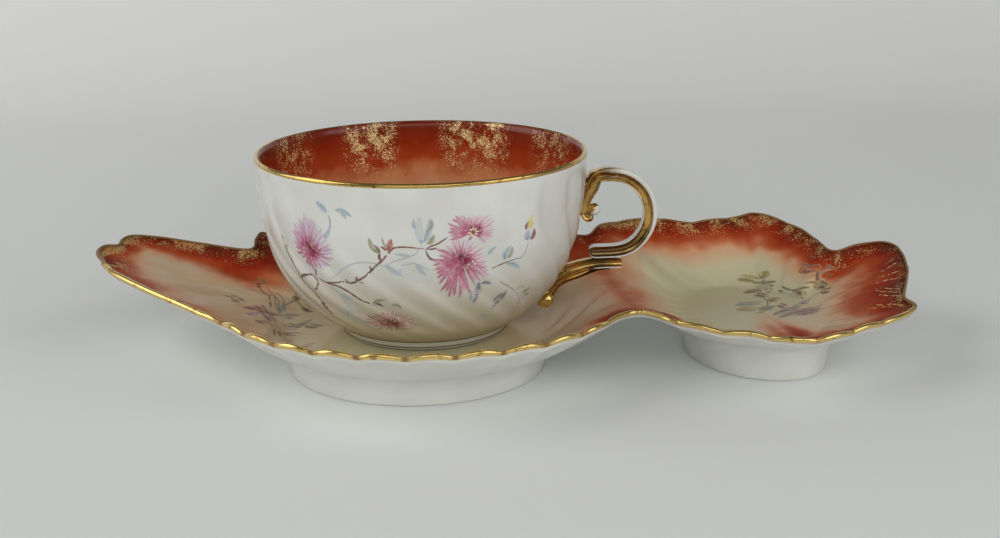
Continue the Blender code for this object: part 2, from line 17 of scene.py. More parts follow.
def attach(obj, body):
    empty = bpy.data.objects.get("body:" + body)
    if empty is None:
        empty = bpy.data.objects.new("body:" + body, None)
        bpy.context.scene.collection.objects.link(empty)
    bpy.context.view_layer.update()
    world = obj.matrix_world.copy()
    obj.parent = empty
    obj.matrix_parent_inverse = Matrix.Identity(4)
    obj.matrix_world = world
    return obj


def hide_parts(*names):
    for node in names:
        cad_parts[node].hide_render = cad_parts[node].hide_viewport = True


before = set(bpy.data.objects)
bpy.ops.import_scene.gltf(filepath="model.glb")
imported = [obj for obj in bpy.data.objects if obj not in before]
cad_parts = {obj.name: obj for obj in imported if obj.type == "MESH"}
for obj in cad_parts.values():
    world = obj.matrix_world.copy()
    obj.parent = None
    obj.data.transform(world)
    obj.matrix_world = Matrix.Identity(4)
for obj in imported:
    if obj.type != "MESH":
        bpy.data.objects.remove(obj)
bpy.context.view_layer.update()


# The saucer's dish: one press-moulded porcelain dish with two wells, a leaf-shaped tip and a
# scalloped edge, fluted inside. Its face is sprayed from ivory to iron red and sponged with gold
# towards the edge, and its underside is plain white.

CUP_AXIS = Vector((-0.0264, 0.0, 0.0))
SIDE_MIDDLE = Vector((0.1080, -0.0010, 0.0))  # from the cup's axis
MAIN_FOOT_RADIUS = 0.0415
MAIN_FOOT_PLACE = Vector((-0.0025, -0.0030, 0.0))  # its middle, from the cup's axis
SIDE_FOOT_LONG = 0.0290
SIDE_FOOT_SHORT = 0.0215
SIDE_FOOT_TURN = math.radians(-72)
FLOOR_INSET = 0.0021  # from a foot's outer side to the edge of the well's level floor
DISH_FLOOR = 0.0115
SIDE_FLOOR = 0.0143
DISH_WALL = 0.0036
DISH_EDGE_WALL = 0.0017
MAIN_LOBE = 0.0685
SIDE_LOBE = 0.0500
RIM_HEIGHT = 0.0239
BACK_RIM_RISE = 0.0048
RIDGE_HEIGHT = 0.0195
RIDGE_BULGE = 0.0035
RIDGE_BEND = 1.5
SCALLOP_PITCH = 0.0140
SCALLOP_DEPTH = 0.0006
SCALLOP_RISE = 0.0011
EDGE_INSET = 0.0003
STEPS_PER_SCALLOP = 12
RIDGE_STEPS = 60
SPAN_STEPS = 24  # points along each span of a smooth line, before they are spaced evenly
BATCH = 2000  # places reckoned at a time
WAIST_BLEND = 16  # steps of the edge over which the ridge's rounding dies out
DISH_RINGS = 34
DISH_FLUTES = 24
DISH_FLUTE_DEPTH = 0.00055
FLUTE_CREST = 0.78  # share of a flute's width at which it stands highest
FLUTE_RUN_IN = 0.2  # shares of the wall over which the flutes begin at the floor and end at the edge
FLUTE_RUN_OUT = 0.3
SIDE_FLUTE_SHARE = 0.6  # depth of the side dish's broad flutes, as a share of the others
FAN_FLUTES = 52
FAN_DEPTH = 0.00024
FAN_MIDDLE = 12  # degrees round the side dish
FAN_SPREAD = 34
MAIN_SWIRL = math.radians(41)
SIDE_SWIRL = math.radians(6)
EDGE_SCROLL = ((137.0, 0.0010, 0.0048), (140.2, 0.0068, 0.0074), (144.0, 0.0052, 0.0066))
LEAF = (  # (degrees, reach past the lobe, rise over the front edge)
    (148.8, 0.0033, 0.0043), (152.5, 0.0185, 0.0058), (155.0, 0.0335, 0.0076),
    (157.3, 0.0420, 0.0086), (159.6, 0.0436, 0.0083), (162.2, 0.0424, 0.0074),
    (164.0, 0.0452, 0.0079), (166.0, 0.0458, 0.0074), (168.0, 0.0440, 0.0070),
    (170.6, 0.0402, 0.0064), (173.2, 0.0378, 0.0063), (178.0, 0.0315, 0.0056),
    (186.6, 0.0188, 0.0038), (194.0, 0.0100, 0.0022), (202.0, 0.0038, 0.0008),
)
WAIST_BACK = (37.8, 0.0032, 0.0056)
WAIST_FRONT = (335.8, 0.0037, 0.0)
SIDE_EDGE = (
    (220.0, -0.0010, 0.0), (230.0, -0.0010, -0.0005), (247.0, -0.0025, -0.0019),
    (259.0, -0.0034, -0.0024), (272.0, 0.0003, -0.0029), (284.0, 0.0003, -0.0029),
    (302.0, -0.0028, -0.0029), (322.0, -0.0010, -0.0029), (335.0, 0.0008, -0.0024),
    (345.0, -0.0028, -0.0019), (362.0, 0.0005, 0.0), (373.0, 0.0050, 0.0014),
    (388.0, 0.0132, 0.0028), (395.0, 0.0138, 0.0033), (399.5, 0.0065, 0.0028),
    (403.5, -0.0045, 0.0019), (415.0, 0.0010, 0.0038), (425.0, 0.0075, 0.0057),
    (438.0, 0.0162, 0.0076), (445.0, 0.0098, 0.0076), (456.0, 0.0057, 0.0076),
    (466.0, 0.0046, 0.0076), (474.0, 0.0095, 0.0086), (482.0, 0.0135, 0.0086),
    (493.0, 0.0168, 0.0082),
)
MAIN_DRESS = (  # (degrees, red at the edge, its reach, gold sponge, scallops, how the wall rises)
    (37, 1.0, 0.019, 0.7, 0.3, 1.5), (60, 1.0, 0.018, 0.7, 0.3, 1.5),
    (130, 1.0, 0.018, 0.8, 0.2, 1.4), (140, 1.0, 0.023, 1.1, 0.0, 1.2),
    (147, 1.0, 0.022, 1.1, 0.0, 1.1), (152, 1.0, 0.0140, 1.2, 0.0, 1.0),
    (157, 1.0, 0.0145, 1.2, 0.0, 0.9), (160, 1.0, 0.0145, 1.3, 0.0, 0.85),
    (163, 0.95, 0.014, 1.6, 0.0, 0.85), (168, 0.90, 0.015, 1.7, 0.0, 0.85),
    (172, 0.80, 0.017, 1.9, 0.0, 0.85), (176, 0.70, 0.019, 1.2, 0.0, 0.85),
    (184, 0.56, 0.019, 0.9, 0.0, 0.9),
    (196, 0.52, 0.017, 0.5, 0.0, 1.0), (201, 0.4, 0.012, 0.2, 0.0, 1.1),
    (205, 0.3, 0.008, 0.0, 1.0, 1.2),
    (214, 0.0, 0.003, 0.0, 1.0, 1.4), (318, 0.0, 0.003, 0.0, 1.0, 1.5),
    (327, 0.8, 0.014, 0.2, 0.5, 1.5), (336, 1.0, 0.020, 0.6, 0.1, 1.5),
)
SIDE_DRESS = (
    (214, 1.0, 0.019, 0.6, 0.1, 1.5), (226, 0.95, 0.014, 0.3, 0.3, 1.5),
    (236, 0.7, 0.010, 0.0, 0.5, 1.5), (246, 0.2, 0.006, 0.0, 0.6, 1.4),
    (262, 0.05, 0.004, 0.0, 0.6, 1.4), (274, 0.4, 0.014, 0.1, 0.6, 1.4),
    (282, 0.95, 0.030, 0.5, 0.6, 1.3), (292, 0.95, 0.028, 0.5, 0.6, 1.3),
    (304, 0.8, 0.018, 0.4, 0.6, 1.3), (318, 0.9, 0.016, 0.7, 0.4, 1.2),
    (330, 0.95, 0.021, 1.1, 0.2, 1.2), (345, 1.0, 0.025, 1.0, 0.1, 1.2),
    (365, 1.0, 0.027, 0.5, 0.1, 1.3), (390, 1.0, 0.024, 0.6, 0.1, 1.4),
    (403, 0.95, 0.014, 1.0, 0.1, 1.5), (420, 1.0, 0.0145, 1.2, 0.2, 1.6),
    (440, 1.0, 0.0140, 1.2, 0.2, 1.6), (465, 1.0, 0.0135, 1.2, 0.3, 1.6),
    (499, 1.0, 0.015, 1.2, 0.3, 1.5),
)
RIDGE_RED = 0.44
RIDGE_REACH = 0.016
FRONT_RED = (  # (x, y, redness) of the red sprayed in behind the side dish's front edge
    (0.111, -0.0250, 0.56), (0.118, -0.0270, 0.62), (0.125, -0.0290, 0.60), (0.113, -0.0320, 0.64),
    (0.119, -0.0345, 0.66), (0.127, -0.0340, 0.62), (0.121, -0.0400, 0.66),
)
FRONT_REACH = 0.010
BLUSH_TAIL = 1.2  # how much further than its reach the red thins out
BLUSH_FADE = 1.25
WELL_WARMTH = 0.13  # the faint blush on the leaf and on the cup's well beside the ridge
WARM_MIDDLE = -0.004  # the middle of the plain part, along x from the cup's axis
WARM_STEP = 0.022  # over which the warmth comes in, from WARM_START steps out
WARM_START = 1.3
WARM_LIMIT = 0.075  # along x, where the side dish begins and the warmth ends
SPONGE_REACH = 0.0062
HARD_SPONGE = 1.35  # from this strength on, at the leaf's tip, the sponge goes further in
HARD_SPONGE_REACH = 0.0110


def tint(red, green, blue):
    """A colour as a paint chart gives it, from 0 to 255, in the light values that shaders use."""
    made = []
    for value in (red, green, blue):
        share = value / 255
        made.append(share / 12.92 if share <= 0.04045 else ((share + 0.055) / 1.055) ** 2.4)
    return (*made, 1.0)


class Shade:
    """A socket among a material's nodes: sums on it add Math nodes, and node() adds any other."""

    def __init__(self, tree, socket=None):
        self.tree = tree
        self.socket = socket

    def node(self, kind, settings=(), sockets=(), out=0):
        made = self.tree.nodes.new(kind)
        for name, value in dict(settings).items():
            if name == "stops":
                stops = made.color_ramp.elements
                stops.remove(stops[1])
                stops[0].position, stops[0].color = value[0]
                for place, colour in value[1:]:
                    stops.new(place).color = colour
            else:
                setattr(made, name, value)
        for name, value in dict(sockets).items():
            if isinstance(value, Shade):
                self.tree.links.new(value.socket, made.inputs[name])
            else:
                made.inputs[name].default_value = value
        return Shade(self.tree, made.outputs[out])

    def sum(self, operation, first, second):
        settings = {"operation": operation}
        return self.node("ShaderNodeMath", settings, {0: first, 1: second})

    def __add__(self, other):
        return self.sum("ADD", self, other)

    __radd__ = __add__

    def __sub__(self, other):
        return self.sum("SUBTRACT", self, other)

    def __rsub__(self, other):
        return self.sum("SUBTRACT", other, self)

    def __mul__(self, other):
        return self.sum("MULTIPLY", self, other)

    __rmul__ = __mul__


def new_material(name, **constants):
    """A material and its shader, with the sockets that are alike all over set as given."""
    made = bpy.data.materials.new(name)
    made.use_nodes = True
    shader = made.node_tree.nodes["Principled BSDF"]
    for socket, value in constants.items():
        shader.inputs[socket.replace("_", " ")].default_value = value
    return made, shader, Shade(made.node_tree)


def wire(start, shader, **links):
    for socket, value in links.items():
        start.tree.links.new(value.socket, shader.inputs[socket.replace("_", " ")])


def speckle(start, scale, detail=2.0, roughness=0.5):
    """Soft clouds about 1/scale metres across, from the piece's own coordinates."""
    where = start.node("ShaderNodeTexCoord", out=3)
    sockets = {"Vector": where, "Scale": scale, "Detail": detail, "Roughness": roughness}
    return start.node("ShaderNodeTexNoise", (), sockets)


def blend(start, share, first, second):
    """first where share is 0, second where it is 1."""
    settings = {"data_type": "RGBA"}
    return start.node("ShaderNodeMix", settings, {0: share, 6: first, 7: second}, 2)


def between(start, value, low, high):
    """0 below low, 1 above high, with an easy way between."""
    settings = {"interpolation_type": "SMOOTHSTEP"}
    return start.node("ShaderNodeMapRange", settings, {0: value, 1: low, 2: high})


def white_clouds(start):
    """White porcelain under clear glaze, with faint grey clouds."""
    return blend(start, between(start, speckle(start, 60.0), 0.35, 0.65), *WHITE_GLAZE)


def sponged(start, sponge, fine, coarse, gaps, full):
    """Where a sponge has left gold: fine dots that crowd together in coarser patches."""
    dots = speckle(start, fine, 2.0, 0.6)
    patches = between(start, speckle(start, coarse, 2.0), *gaps)
    share = between(start, dots + sponge * patches * 0.20, 0.62, full)
    return share * between(start, sponge, 0.05, 0.3)


def coordinate(start, axis, space=3):
    """Along x, y or z (0, 1 or 2): a piece's own coordinates, or with space 0 the room's."""
    where = start.node("ShaderNodeTexCoord", out=space)
    return start.node("ShaderNodeSeparateXYZ", (), {0: where}, axis)


def dimples(start, scale, strength, distance):
    """The faint unevenness of a fired glaze, as a normal."""
    sockets = {"Height": speckle(start, scale, 3.0), "Strength": strength, "Distance": distance}
    return start.node("ShaderNodeBump", (), sockets)


def add_attribute(mesh, name, values):
    made = mesh.attributes.new(name, "FLOAT", "POINT")
    made.data.foreach_set("value", np.asarray(values, np.float32))


def read_attribute(start, name):
    return start.node("ShaderNodeAttribute", {"attribute_name": name}, out=2)


def ease(t):
    """0 to 1 with a level start and end."""
    t = min(max(t, 0.0), 1.0)
    return t * t * (3 - 2 * t)


def flute(turns):
    """One flute for each whole turn, from -0.5 to 0.5: a slow rise and a quick fall."""
    share = turns % 1.0
    rising = share < FLUTE_CREST
    return ease(share / FLUTE_CREST if rising else (1 - share) / (1 - FLUTE_CREST)) - 0.5


def smooth_line(points, samples):
    """Catmull-Rom spans through points[1:-1], as evenly spaced points without the last."""
    fine = []
    for before, start, end, after in zip(points, points[1:], points[2:], points[3:]):
        for k in range(SPAN_STEPS):
            t = k / SPAN_STEPS
            fine.append(0.5 * (
                2 * start + (end - before) * t
                + (2 * before - 5 * start + 4 * end - after) * t * t
                + (3 * start - before - 3 * end + after) * t ** 3
            ))
    fine.append(points[-2].copy())
    lengths = [0.0]
    for a, b in zip(fine, fine[1:]):
        lengths.append(lengths[-1] + (b - a).length)
    spaced = []
    at = 0
    for k in range(samples):
        wanted = lengths[-1] * k / samples
        while lengths[at + 1] < wanted:
            at += 1
        share = (wanted - lengths[at]) / (lengths[at + 1] - lengths[at])
        spaced.append(fine[at].lerp(fine[at + 1], share))
    return spaced


def edge_point(middle, radius, station):
    degrees, reach, rise = station
    angle = math.radians(degrees)
    out = Vector((math.cos(angle), math.sin(angle), 0.0)) * (radius + reach)
    return middle + out + Vector((0.0, 0.0, RIM_HEIGHT + rise))


def edge_line():
    """The edge's two stretches, round the cup's lobe and round the side dish."""
    stations = [WAIST_BACK, *((degrees, 0.0, BACK_RIM_RISE) for degrees in range(48, 133, 12))]
    stations += [*EDGE_SCROLL, *LEAF, *((degrees, 0.0, 0.0) for degrees in range(210, 331, 12))]
    main = [edge_point(Vector(), MAIN_LOBE, s) for s in [*stations, WAIST_FRONT]]
    side = [main[-1], *(edge_point(SIDE_MIDDLE, SIDE_LOBE, s) for s in SIDE_EDGE), main[0]]
    made = []
    for line, before, after in ((main, side[-2], side[1]), (side, main[-2], main[1])):
        length = sum((b - a).length for a, b in zip(line, line[1:]))
        steps = round(length / SCALLOP_PITCH) * STEPS_PER_SCALLOP
        made.append(smooth_line([before, *line, after], steps))
    return made


def edge_turns(line, middle):
    """Degrees round a well's middle for each point of its stretch, growing past a full turn."""
    made = []
    for point in line:
        degrees = math.degrees(math.atan2(point.y - middle.y, point.x - middle.x)) % 360
        if made and degrees < made[-1] - 180:
            degrees += 360
        made.append(degrees)
    return made


def along_edge(turns, table, column):
    return np.interp(turns, [row[0] for row in table], [row[column] for row in table])


def scalloped(line, shares):
    """The closed edge line with its small cusped scallops, as strong as the shares say."""
    made = []
    for k, point in enumerate(line):
        before, after = line[k - 1], line[(k + 1) % len(line)]
        out = Vector((after.y - before.y, before.x - after.x, 0.0)).normalized()
        wave = (abs(math.sin(math.pi * k / STEPS_PER_SCALLOP)) - 0.6) * shares[k]
        made.append(point + out * SCALLOP_DEPTH * wave + Vector((0.0, 0.0, SCALLOP_RISE * wave)))
    return made


def inset(line, distance):
    """The closed line moved inwards in plan, with its corners mitred."""
    made = []
    for k, point in enumerate(line):
        back = (point - line[k - 1]).xy.normalized()
        ahead = (line[(k + 1) % len(line)] - point).xy.normalized()
        along = (back + ahead).normalized()
        mitre = max(along.dot(ahead), 0.5)
        made.append(point + Vector((-along.y, along.x, 0.0)) * (distance / mitre))
    return made


def main_floor(angle):
    reach = MAIN_FOOT_RADIUS - FLOOR_INSET
    return MAIN_FOOT_PLACE + Vector((math.cos(angle) * reach, math.sin(angle) * reach, DISH_FLOOR))


def side_floor(angle):
    turned = angle - SIDE_FOOT_TURN
    long, short = SIDE_FOOT_LONG - FLOOR_INSET, SIDE_FOOT_SHORT - FLOOR_INSET
    reach = 1 / math.hypot(math.cos(turned) / long, math.sin(turned) / short)
    return SIDE_MIDDLE + Vector((math.cos(angle) * reach, math.sin(angle) * reach, SIDE_FLOOR))


def broad_flutes(angle, u, swirl):
    turn = swirl * (1 - (1 - u) ** 2)
    depth = DISH_FLUTE_DEPTH * ease(u / FLUTE_RUN_IN) * ease((1 - u) / FLUTE_RUN_OUT)
    return depth * flute(DISH_FLUTES * (angle - turn) / math.tau)


def main_flutes(angle, u):
    return broad_flutes(angle, u, MAIN_SWIRL)


def side_flutes(angle, u):
    """Broad faint flutes all round, and a fan of narrow ones on the right-hand tip."""
    wave = SIDE_FLUTE_SHARE * broad_flutes(angle, u, SIDE_SWIRL)
    tip = abs((math.degrees(angle) - FAN_MIDDLE + 180) % 360 - 180) / FAN_SPREAD
    fan = FAN_DEPTH * ease(1.3 - tip) * ease((u - 0.35) / 0.4)
    return wave + fan * math.sin(FAN_FLUTES * angle) * 0.5


def well_rings(boundary, floor, ridge_share, bends, middle, flutes):
    """Rings of (upper point, lower point) from a well's level floor out to its boundary."""
    rings = []
    for ring in range(DISH_RINGS + 1):
        u = ring / DISH_RINGS
        wall = DISH_WALL - (DISH_WALL - DISH_EDGE_WALL) * u * u
        points = []
        for edge, share, bend in zip(boundary, ridge_share, bends):
            angle = math.atan2(edge.y - middle.y, edge.x - middle.x)
            start = floor(angle)
            rise = (1 - share) * u ** bend * ease(u / 0.2) + share * ease(u)
            height = start.z + (edge.z - start.z) * rise
            point = start.lerp(edge, u)
            upper = Vector((point.x, point.y, height + flutes(angle, u) * (1 - 0.6 * share)))
            points.append((upper, Vector((point.x, point.y, height - wall))))
        rings.append(points)
    return rings


def near_share(places, stations, reach, fade=1.0):
    """How strongly the stations (x, y, strength) reach each place, from 0 to 1."""
    found = np.zeros(len(places))
    for first in range(0, len(places), BATCH):
        some = places[first:first + BATCH]
        away = np.hypot(some[:, None, 0] - stations[:, 0], some[:, None, 1] - stations[:, 1])
        share = np.clip(1 - away / reach, 0, 1) ** fade
        found[first:first + BATCH] = (stations[:, 2] * share).max(1)
    return found


def new_object(name, data):
    made = bpy.data.objects.new(name, data)
    bpy.context.scene.collection.objects.link(made)
    return made


def set_down(piece, place, material, smooth=50.0):
    """Puts a modelled piece's mesh in its place, with its finish, shaded smooth."""
    piece.data.transform(Matrix.Translation(place))
    piece.data.materials.append(material)
    piece.data.shade_smooth()
    piece.data.set_sharp_from_angle(angle=math.radians(smooth))
    piece.data.update()


def surface_of(piece):
    """The piece's surface, for laying things on it."""
    mesh = piece.data
    return BVHTree.FromPolygons(
        [vert.co.copy() for vert in mesh.vertices], [tuple(face.vertices) for face in mesh.polygons],
    )


stretches = edge_line()
main_steps = len(stretches[0])
main_turns = edge_turns(stretches[0], Vector())
side_turns = edge_turns(stretches[1], SIDE_MIDDLE)
dress = np.array([
    [*along_edge(main_turns, MAIN_DRESS, column), *along_edge(side_turns, SIDE_DRESS, column)]
    for column in (1, 2, 3, 4, 5)
])
edge_red, edge_reach, edge_sponge, edge_scallops, edge_bends = dress
edge = scalloped(stretches[0] + stretches[1], edge_scallops)
dish_edge = inset(edge, EDGE_INSET)
ridge = []
ridge_share = []
for k in range(1, RIDGE_STEPS):
    t = k / RIDGE_STEPS
    point = dish_edge[main_steps].lerp(dish_edge[0], t)
    sag = (point.z - RIDGE_HEIGHT) * (1 - abs(2 * t - 1) ** 2.5)
    ridge.append(point + Vector((RIDGE_BULGE * (1 - (2 * t - 1) ** 2), 0.0, -sag)))
    ridge_share.append(1.0)
main_boundary = dish_edge[:main_steps + 1] + ridge
side_boundary = [*dish_edge[main_steps:], dish_edge[0], *reversed(ridge)]
fall = [ease(1 - k / WAIST_BLEND) for k in range(WAIST_BLEND)]
main_share = [*fall, *[0.0] * (main_steps + 1 - 2 * WAIST_BLEND), *fall[::-1], *ridge_share]
side_steps = len(dish_edge) - main_steps + 1
side_share = [*fall, *[0.0] * (side_steps - 2 * WAIST_BLEND), *fall[::-1], *ridge_share]
main_bends = [*edge_bends[:main_steps + 1], *[RIDGE_BEND] * len(ridge)]
side_bends = [*edge_bends[main_steps:], edge_bends[0], *[RIDGE_BEND] * len(ridge)]
wells = (
    well_rings(main_boundary, main_floor, main_share, main_bends, Vector(), main_flutes),
    well_rings(side_boundary, side_floor, side_share, side_bends, SIDE_MIDDLE, side_flutes),
)

dish_skin = bmesh.new()
made_points = {}
upper_points, lower_points = [], []
for rings in wells:
    loops = []
    for ring in rings:
        loop = []
        for upper, lower in ring:
            key = (round(upper.x, 7), round(upper.y, 7))
            if key not in made_points:
                made_points[key] = dish_skin.verts.new(upper)
                upper_points.append(made_points[key])
                lower_points.append(lower)
            loop.append(made_points[key])
        loops.append(loop)
    hub = dish_skin.verts.new(sum((v.co for v in loops[0]), Vector()) / len(loops[0]))
    upper_points.append(hub)
    lower_points.append(hub.co - Vector((0.0, 0.0, DISH_WALL)))
    for k in range(len(loops[0])):
        dish_skin.faces.new((hub, loops[0][k], loops[0][(k + 1) % len(loops[0])]))
    for low, high in zip(loops, loops[1:]):
        for k in range(len(low)):
            after = (k + 1) % len(low)
            dish_skin.faces.new((low[k], high[k], high[after], low[after]))
below = {upper: dish_skin.verts.new(lower) for upper, lower in zip(upper_points, lower_points)}
outer_edges = [e for e in dish_skin.edges if len(e.link_faces) == 1]
for face in list(dish_skin.faces):
    dish_skin.faces.new([below[vert] for vert in reversed(face.verts)])
for e in outer_edges:
    dish_skin.faces.new((e.verts[0], e.verts[1], below[e.verts[1]], below[e.verts[0]]))
bmesh.ops.recalc_face_normals(dish_skin, faces=dish_skin.faces)
dish_mesh = bpy.data.meshes.new("dish")
dish_skin.to_mesh(dish_mesh)
dish_skin.free()
dish = new_object("dish", dish_mesh)

plan = np.array([(point.x, point.y) for point in edge])
crest = np.array([(point.x, point.y, RIDGE_RED) for point in ridge])
places = np.array([vert.co for vert in dish_mesh.vertices])
is_face = np.zeros(len(places))
is_face[:len(upper_points)] = 1.0
red_stations = np.column_stack([plan, edge_red])
sponge_stations = np.column_stack([plan, edge_sponge])
sponge_reach = np.where(edge_sponge > HARD_SPONGE, HARD_SPONGE_REACH, SPONGE_REACH)


def blush_at(places):
    """How red the dish is at its places (x, y), from ivory at 0 to the deepest red at 1."""
    red = near_share(places, red_stations, edge_reach * BLUSH_TAIL, BLUSH_FADE)
    red = np.maximum(red, near_share(places, crest, RIDGE_REACH))
    red = np.maximum(red, near_share(places, np.array(FRONT_RED), FRONT_REACH))
    steps_out = np.abs(places[:, 0] - WARM_MIDDLE) / WARM_STEP
    warmth = WELL_WARMTH * np.clip(steps_out - WARM_START, 0, 1)
    return np.maximum(red, warmth * (places[:, 0] < WARM_LIMIT))


add_attribute(dish_mesh, "face", is_face)
add_attribute(dish_mesh, "blush", blush_at(places))
add_attribute(dish_mesh, "sponge", near_share(places, sponge_stations, sponge_reach))

WHITE_GLAZE = (tint(206, 206, 199), tint(213, 214, 208))
GOLD = (tint(238, 206, 128), tint(140, 102, 48))
SPONGED_GOLD = tint(206, 174, 112)
BLUSH_STOPS = (
    (0.0, tint(204, 196, 160)), (0.12, tint(208, 181, 146)), (0.26, tint(210, 158, 122)),
    (0.36, tint(196, 122, 84)), (0.50, tint(174, 76, 40)), (0.70, tint(146, 42, 16)),
    (1.0, tint(84, 31, 15)),
)

painted_dish, shader, start = new_material("painted_dish", Specular_IOR_Level=0.10)
face = read_attribute(start, "face")
blush = read_attribute(start, "blush")
sponge = read_attribute(start, "sponge")
clouds = speckle(start, 75.0, 2.5, 0.55)
colour = start.node(
    "ShaderNodeValToRGB", {"stops": BLUSH_STOPS},
    {0: blush + (clouds - 0.5) * between(start, blush, 0.0, 0.35) * 0.65},
)
gold_share = sponged(start, sponge, 1900.0, 170.0, (0.40, 0.62), 0.70) * face
painted = blend(start, gold_share * 0.85, colour, SPONGED_GOLD)
wire(
    start, shader,
    Base_Color=blend(start, face, white_clouds(start), painted),
    Roughness=0.16 + 0.10 * speckle(start, 140.0) + 0.40 * between(start, blush, 0.2, 0.6) * face,
    Metallic=gold_share * 0.25,
    Normal=dimples(start, 260.0, 0.06, 0.0004),
)
set_down(dish, CUP_AXIS, painted_dish, 130.0)
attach(dish, "saucer")
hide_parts("saucer_dish")
dish_surface = surface_of(dish)


# The saucer's two feet: a round ring under the cup's well and an oval one under the side dish,
# luted on before the glaze. They stand nearly upright and cove out into the dish's underside.

FOOT_POINTS = 160
COVE_STEPS = 12
COVE_START = 0.0040  # height at which the cove leaves the foot's upright side
COVE_REACH = 0.0060  # how far out under the dish it runs
COVE_CORNER = 0.2  # share of that reach at which its two tangents meet
COVE_RISE = 0.0010  # at least, from its start to that corner
COVE_SINK = 0.0001  # how far its end runs into the dish
FOOT_ROOT = -0.0046  # the root of the foot's inner side, out from its outer side
ROOT_OVERLAP = 0.0005  # how far the root stands up into the dish
FOOT_PROFILE = (  # (out from the foot's outer side, height), from inside the ring to its outer side
    (-0.0036, 0.0040), (-0.0029, 0.0007), (-0.0025, 0.0001), (-0.0020, 0.0),
    (-0.0008, 0.0), (-0.0003, 0.0002), (-0.0001, 0.0004), (0.0, 0.0007), (0.0003, COVE_START),
)


def white_glaze():
    """Clear glaze over white porcelain, with a shine that varies a little."""
    made, shader, start = new_material("white_glaze", Coat_Weight=0.3, Coat_Roughness=0.04)
    wire(
        start, shader,
        Base_Color=white_clouds(start),
        Roughness=0.14 + 0.10 * speckle(start, 140.0),
        Normal=dimples(start, 260.0, 0.06, 0.0004),
    )
    return made


def open_ring(name, points, sizes, height):
    """An oval round the origin, left in edit mode with all its points selected."""
    bpy.ops.object.select_all(action="DESELECT")
    bpy.ops.mesh.primitive_circle_add(vertices=points, radius=1.0)
    made = bpy.context.object
    made.name = made.data.name = name
    bpy.ops.object.mode_set(mode="EDIT")
    bpy.ops.mesh.select_all(action="SELECT")
    bpy.ops.transform.resize(value=(*sizes, 1.0), center_override=(0, 0, 0))
    bpy.ops.transform.translate(value=(0.0, 0.0, height))
    return made


def draw_out(profile):
    """Extrudes the selected ring on through a profile of (x size, y size, height)."""
    for old, new in zip(profile, profile[1:]):
        lift = {"value": (0.0, 0.0, new[2] - old[2])}
        grow = (new[0] / old[0], new[1] / old[1], 1.0)
        bpy.ops.mesh.extrude_edges_move(TRANSFORM_OT_translate=lift)
        bpy.ops.transform.resize(value=grow, center_override=(0, 0, 0))


def closed_ring(name, points, profile):
    """A ring drawn out through a profile of (x size, y size, height) and closed on itself."""
    made = open_ring(name, points, profile[0][:2], profile[0][2])
    draw_out(profile)
    bpy.ops.mesh.select_all(action="SELECT")
    bpy.ops.mesh.region_to_loop()
    bpy.ops.mesh.bridge_edge_loops()
    bpy.ops.mesh.select_all(action="SELECT")
    bpy.ops.mesh.remove_doubles(threshold=0.000001)
    bpy.ops.mesh.normals_make_consistent(inside=False)
    bpy.ops.object.mode_set(mode="OBJECT")
    return made


def round_profile(sections):
    """(radius, height) pairs as the (x size, y size, height) that a ring is drawn out through."""
    return [(radius, radius, height) for radius, height in sections]


def underside(x, y):
    """The height of the dish's underside over a place on the table."""
    return dish_surface.ray_cast(Vector((x, y, 0.0001)), Vector((0.0, 0.0, 1.0)))[0].z


def make_foot(name, long, short, turn, middle, root, node):
    """A foot ring whose inner side runs up to root, just inside the dish."""
    section = ((FOOT_ROOT, root), *FOOT_PROFILE)
    profile = [(long + out, short + out, height) for out, height in section]
    for k in range(1, COVE_STEPS + 1):
        out = COVE_REACH * k / COVE_STEPS
        profile.append((long + out, short + out, COVE_START + out))
    foot = closed_ring(name, FOOT_POINTS, profile)
    foot.data.transform(Matrix.Rotation(turn, 4, "Z"))
    set_down(foot, middle, glaze)
    rings = len(section)
    for n in range(FOOT_POINTS):
        wall = foot.data.vertices[(rings - 1) * FOOT_POINTS + n].co.copy()
        end = foot.data.vertices[(rings + COVE_STEPS - 1) * FOOT_POINTS + n].co.copy()
        nearer = end.lerp(wall, COVE_CORNER)
        high = underside(end.x, end.y)
        fall = (high - underside(nearer.x, nearer.y)) / COVE_CORNER
        end.z = high
        corner = wall.lerp(end, COVE_CORNER)
        corner.z = max(high - fall * (1 - COVE_CORNER), COVE_START + COVE_RISE)
        for k in range(1, COVE_STEPS + 1):
            t = k / COVE_STEPS
            point = wall.lerp(corner, t).lerp(corner.lerp(end, t), t)
            if k == COVE_STEPS:
                point.z += COVE_SINK
            foot.data.vertices[(rings + k - 1) * FOOT_POINTS + n].co = point
    foot.data.update()
    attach(foot, "saucer")
    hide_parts(node)


glaze = white_glaze()
make_foot(
    "main_foot", MAIN_FOOT_RADIUS, MAIN_FOOT_RADIUS, 0.0, CUP_AXIS + MAIN_FOOT_PLACE,
    DISH_FLOOR - DISH_WALL + ROOT_OVERLAP, "saucer_main_foot",
)
make_foot(
    "side_foot", SIDE_FOOT_LONG, SIDE_FOOT_SHORT, SIDE_FOOT_TURN, CUP_AXIS + SIDE_MIDDLE,
    SIDE_FLOOR - DISH_WALL + ROOT_OVERLAP, "saucer_side_foot",
)
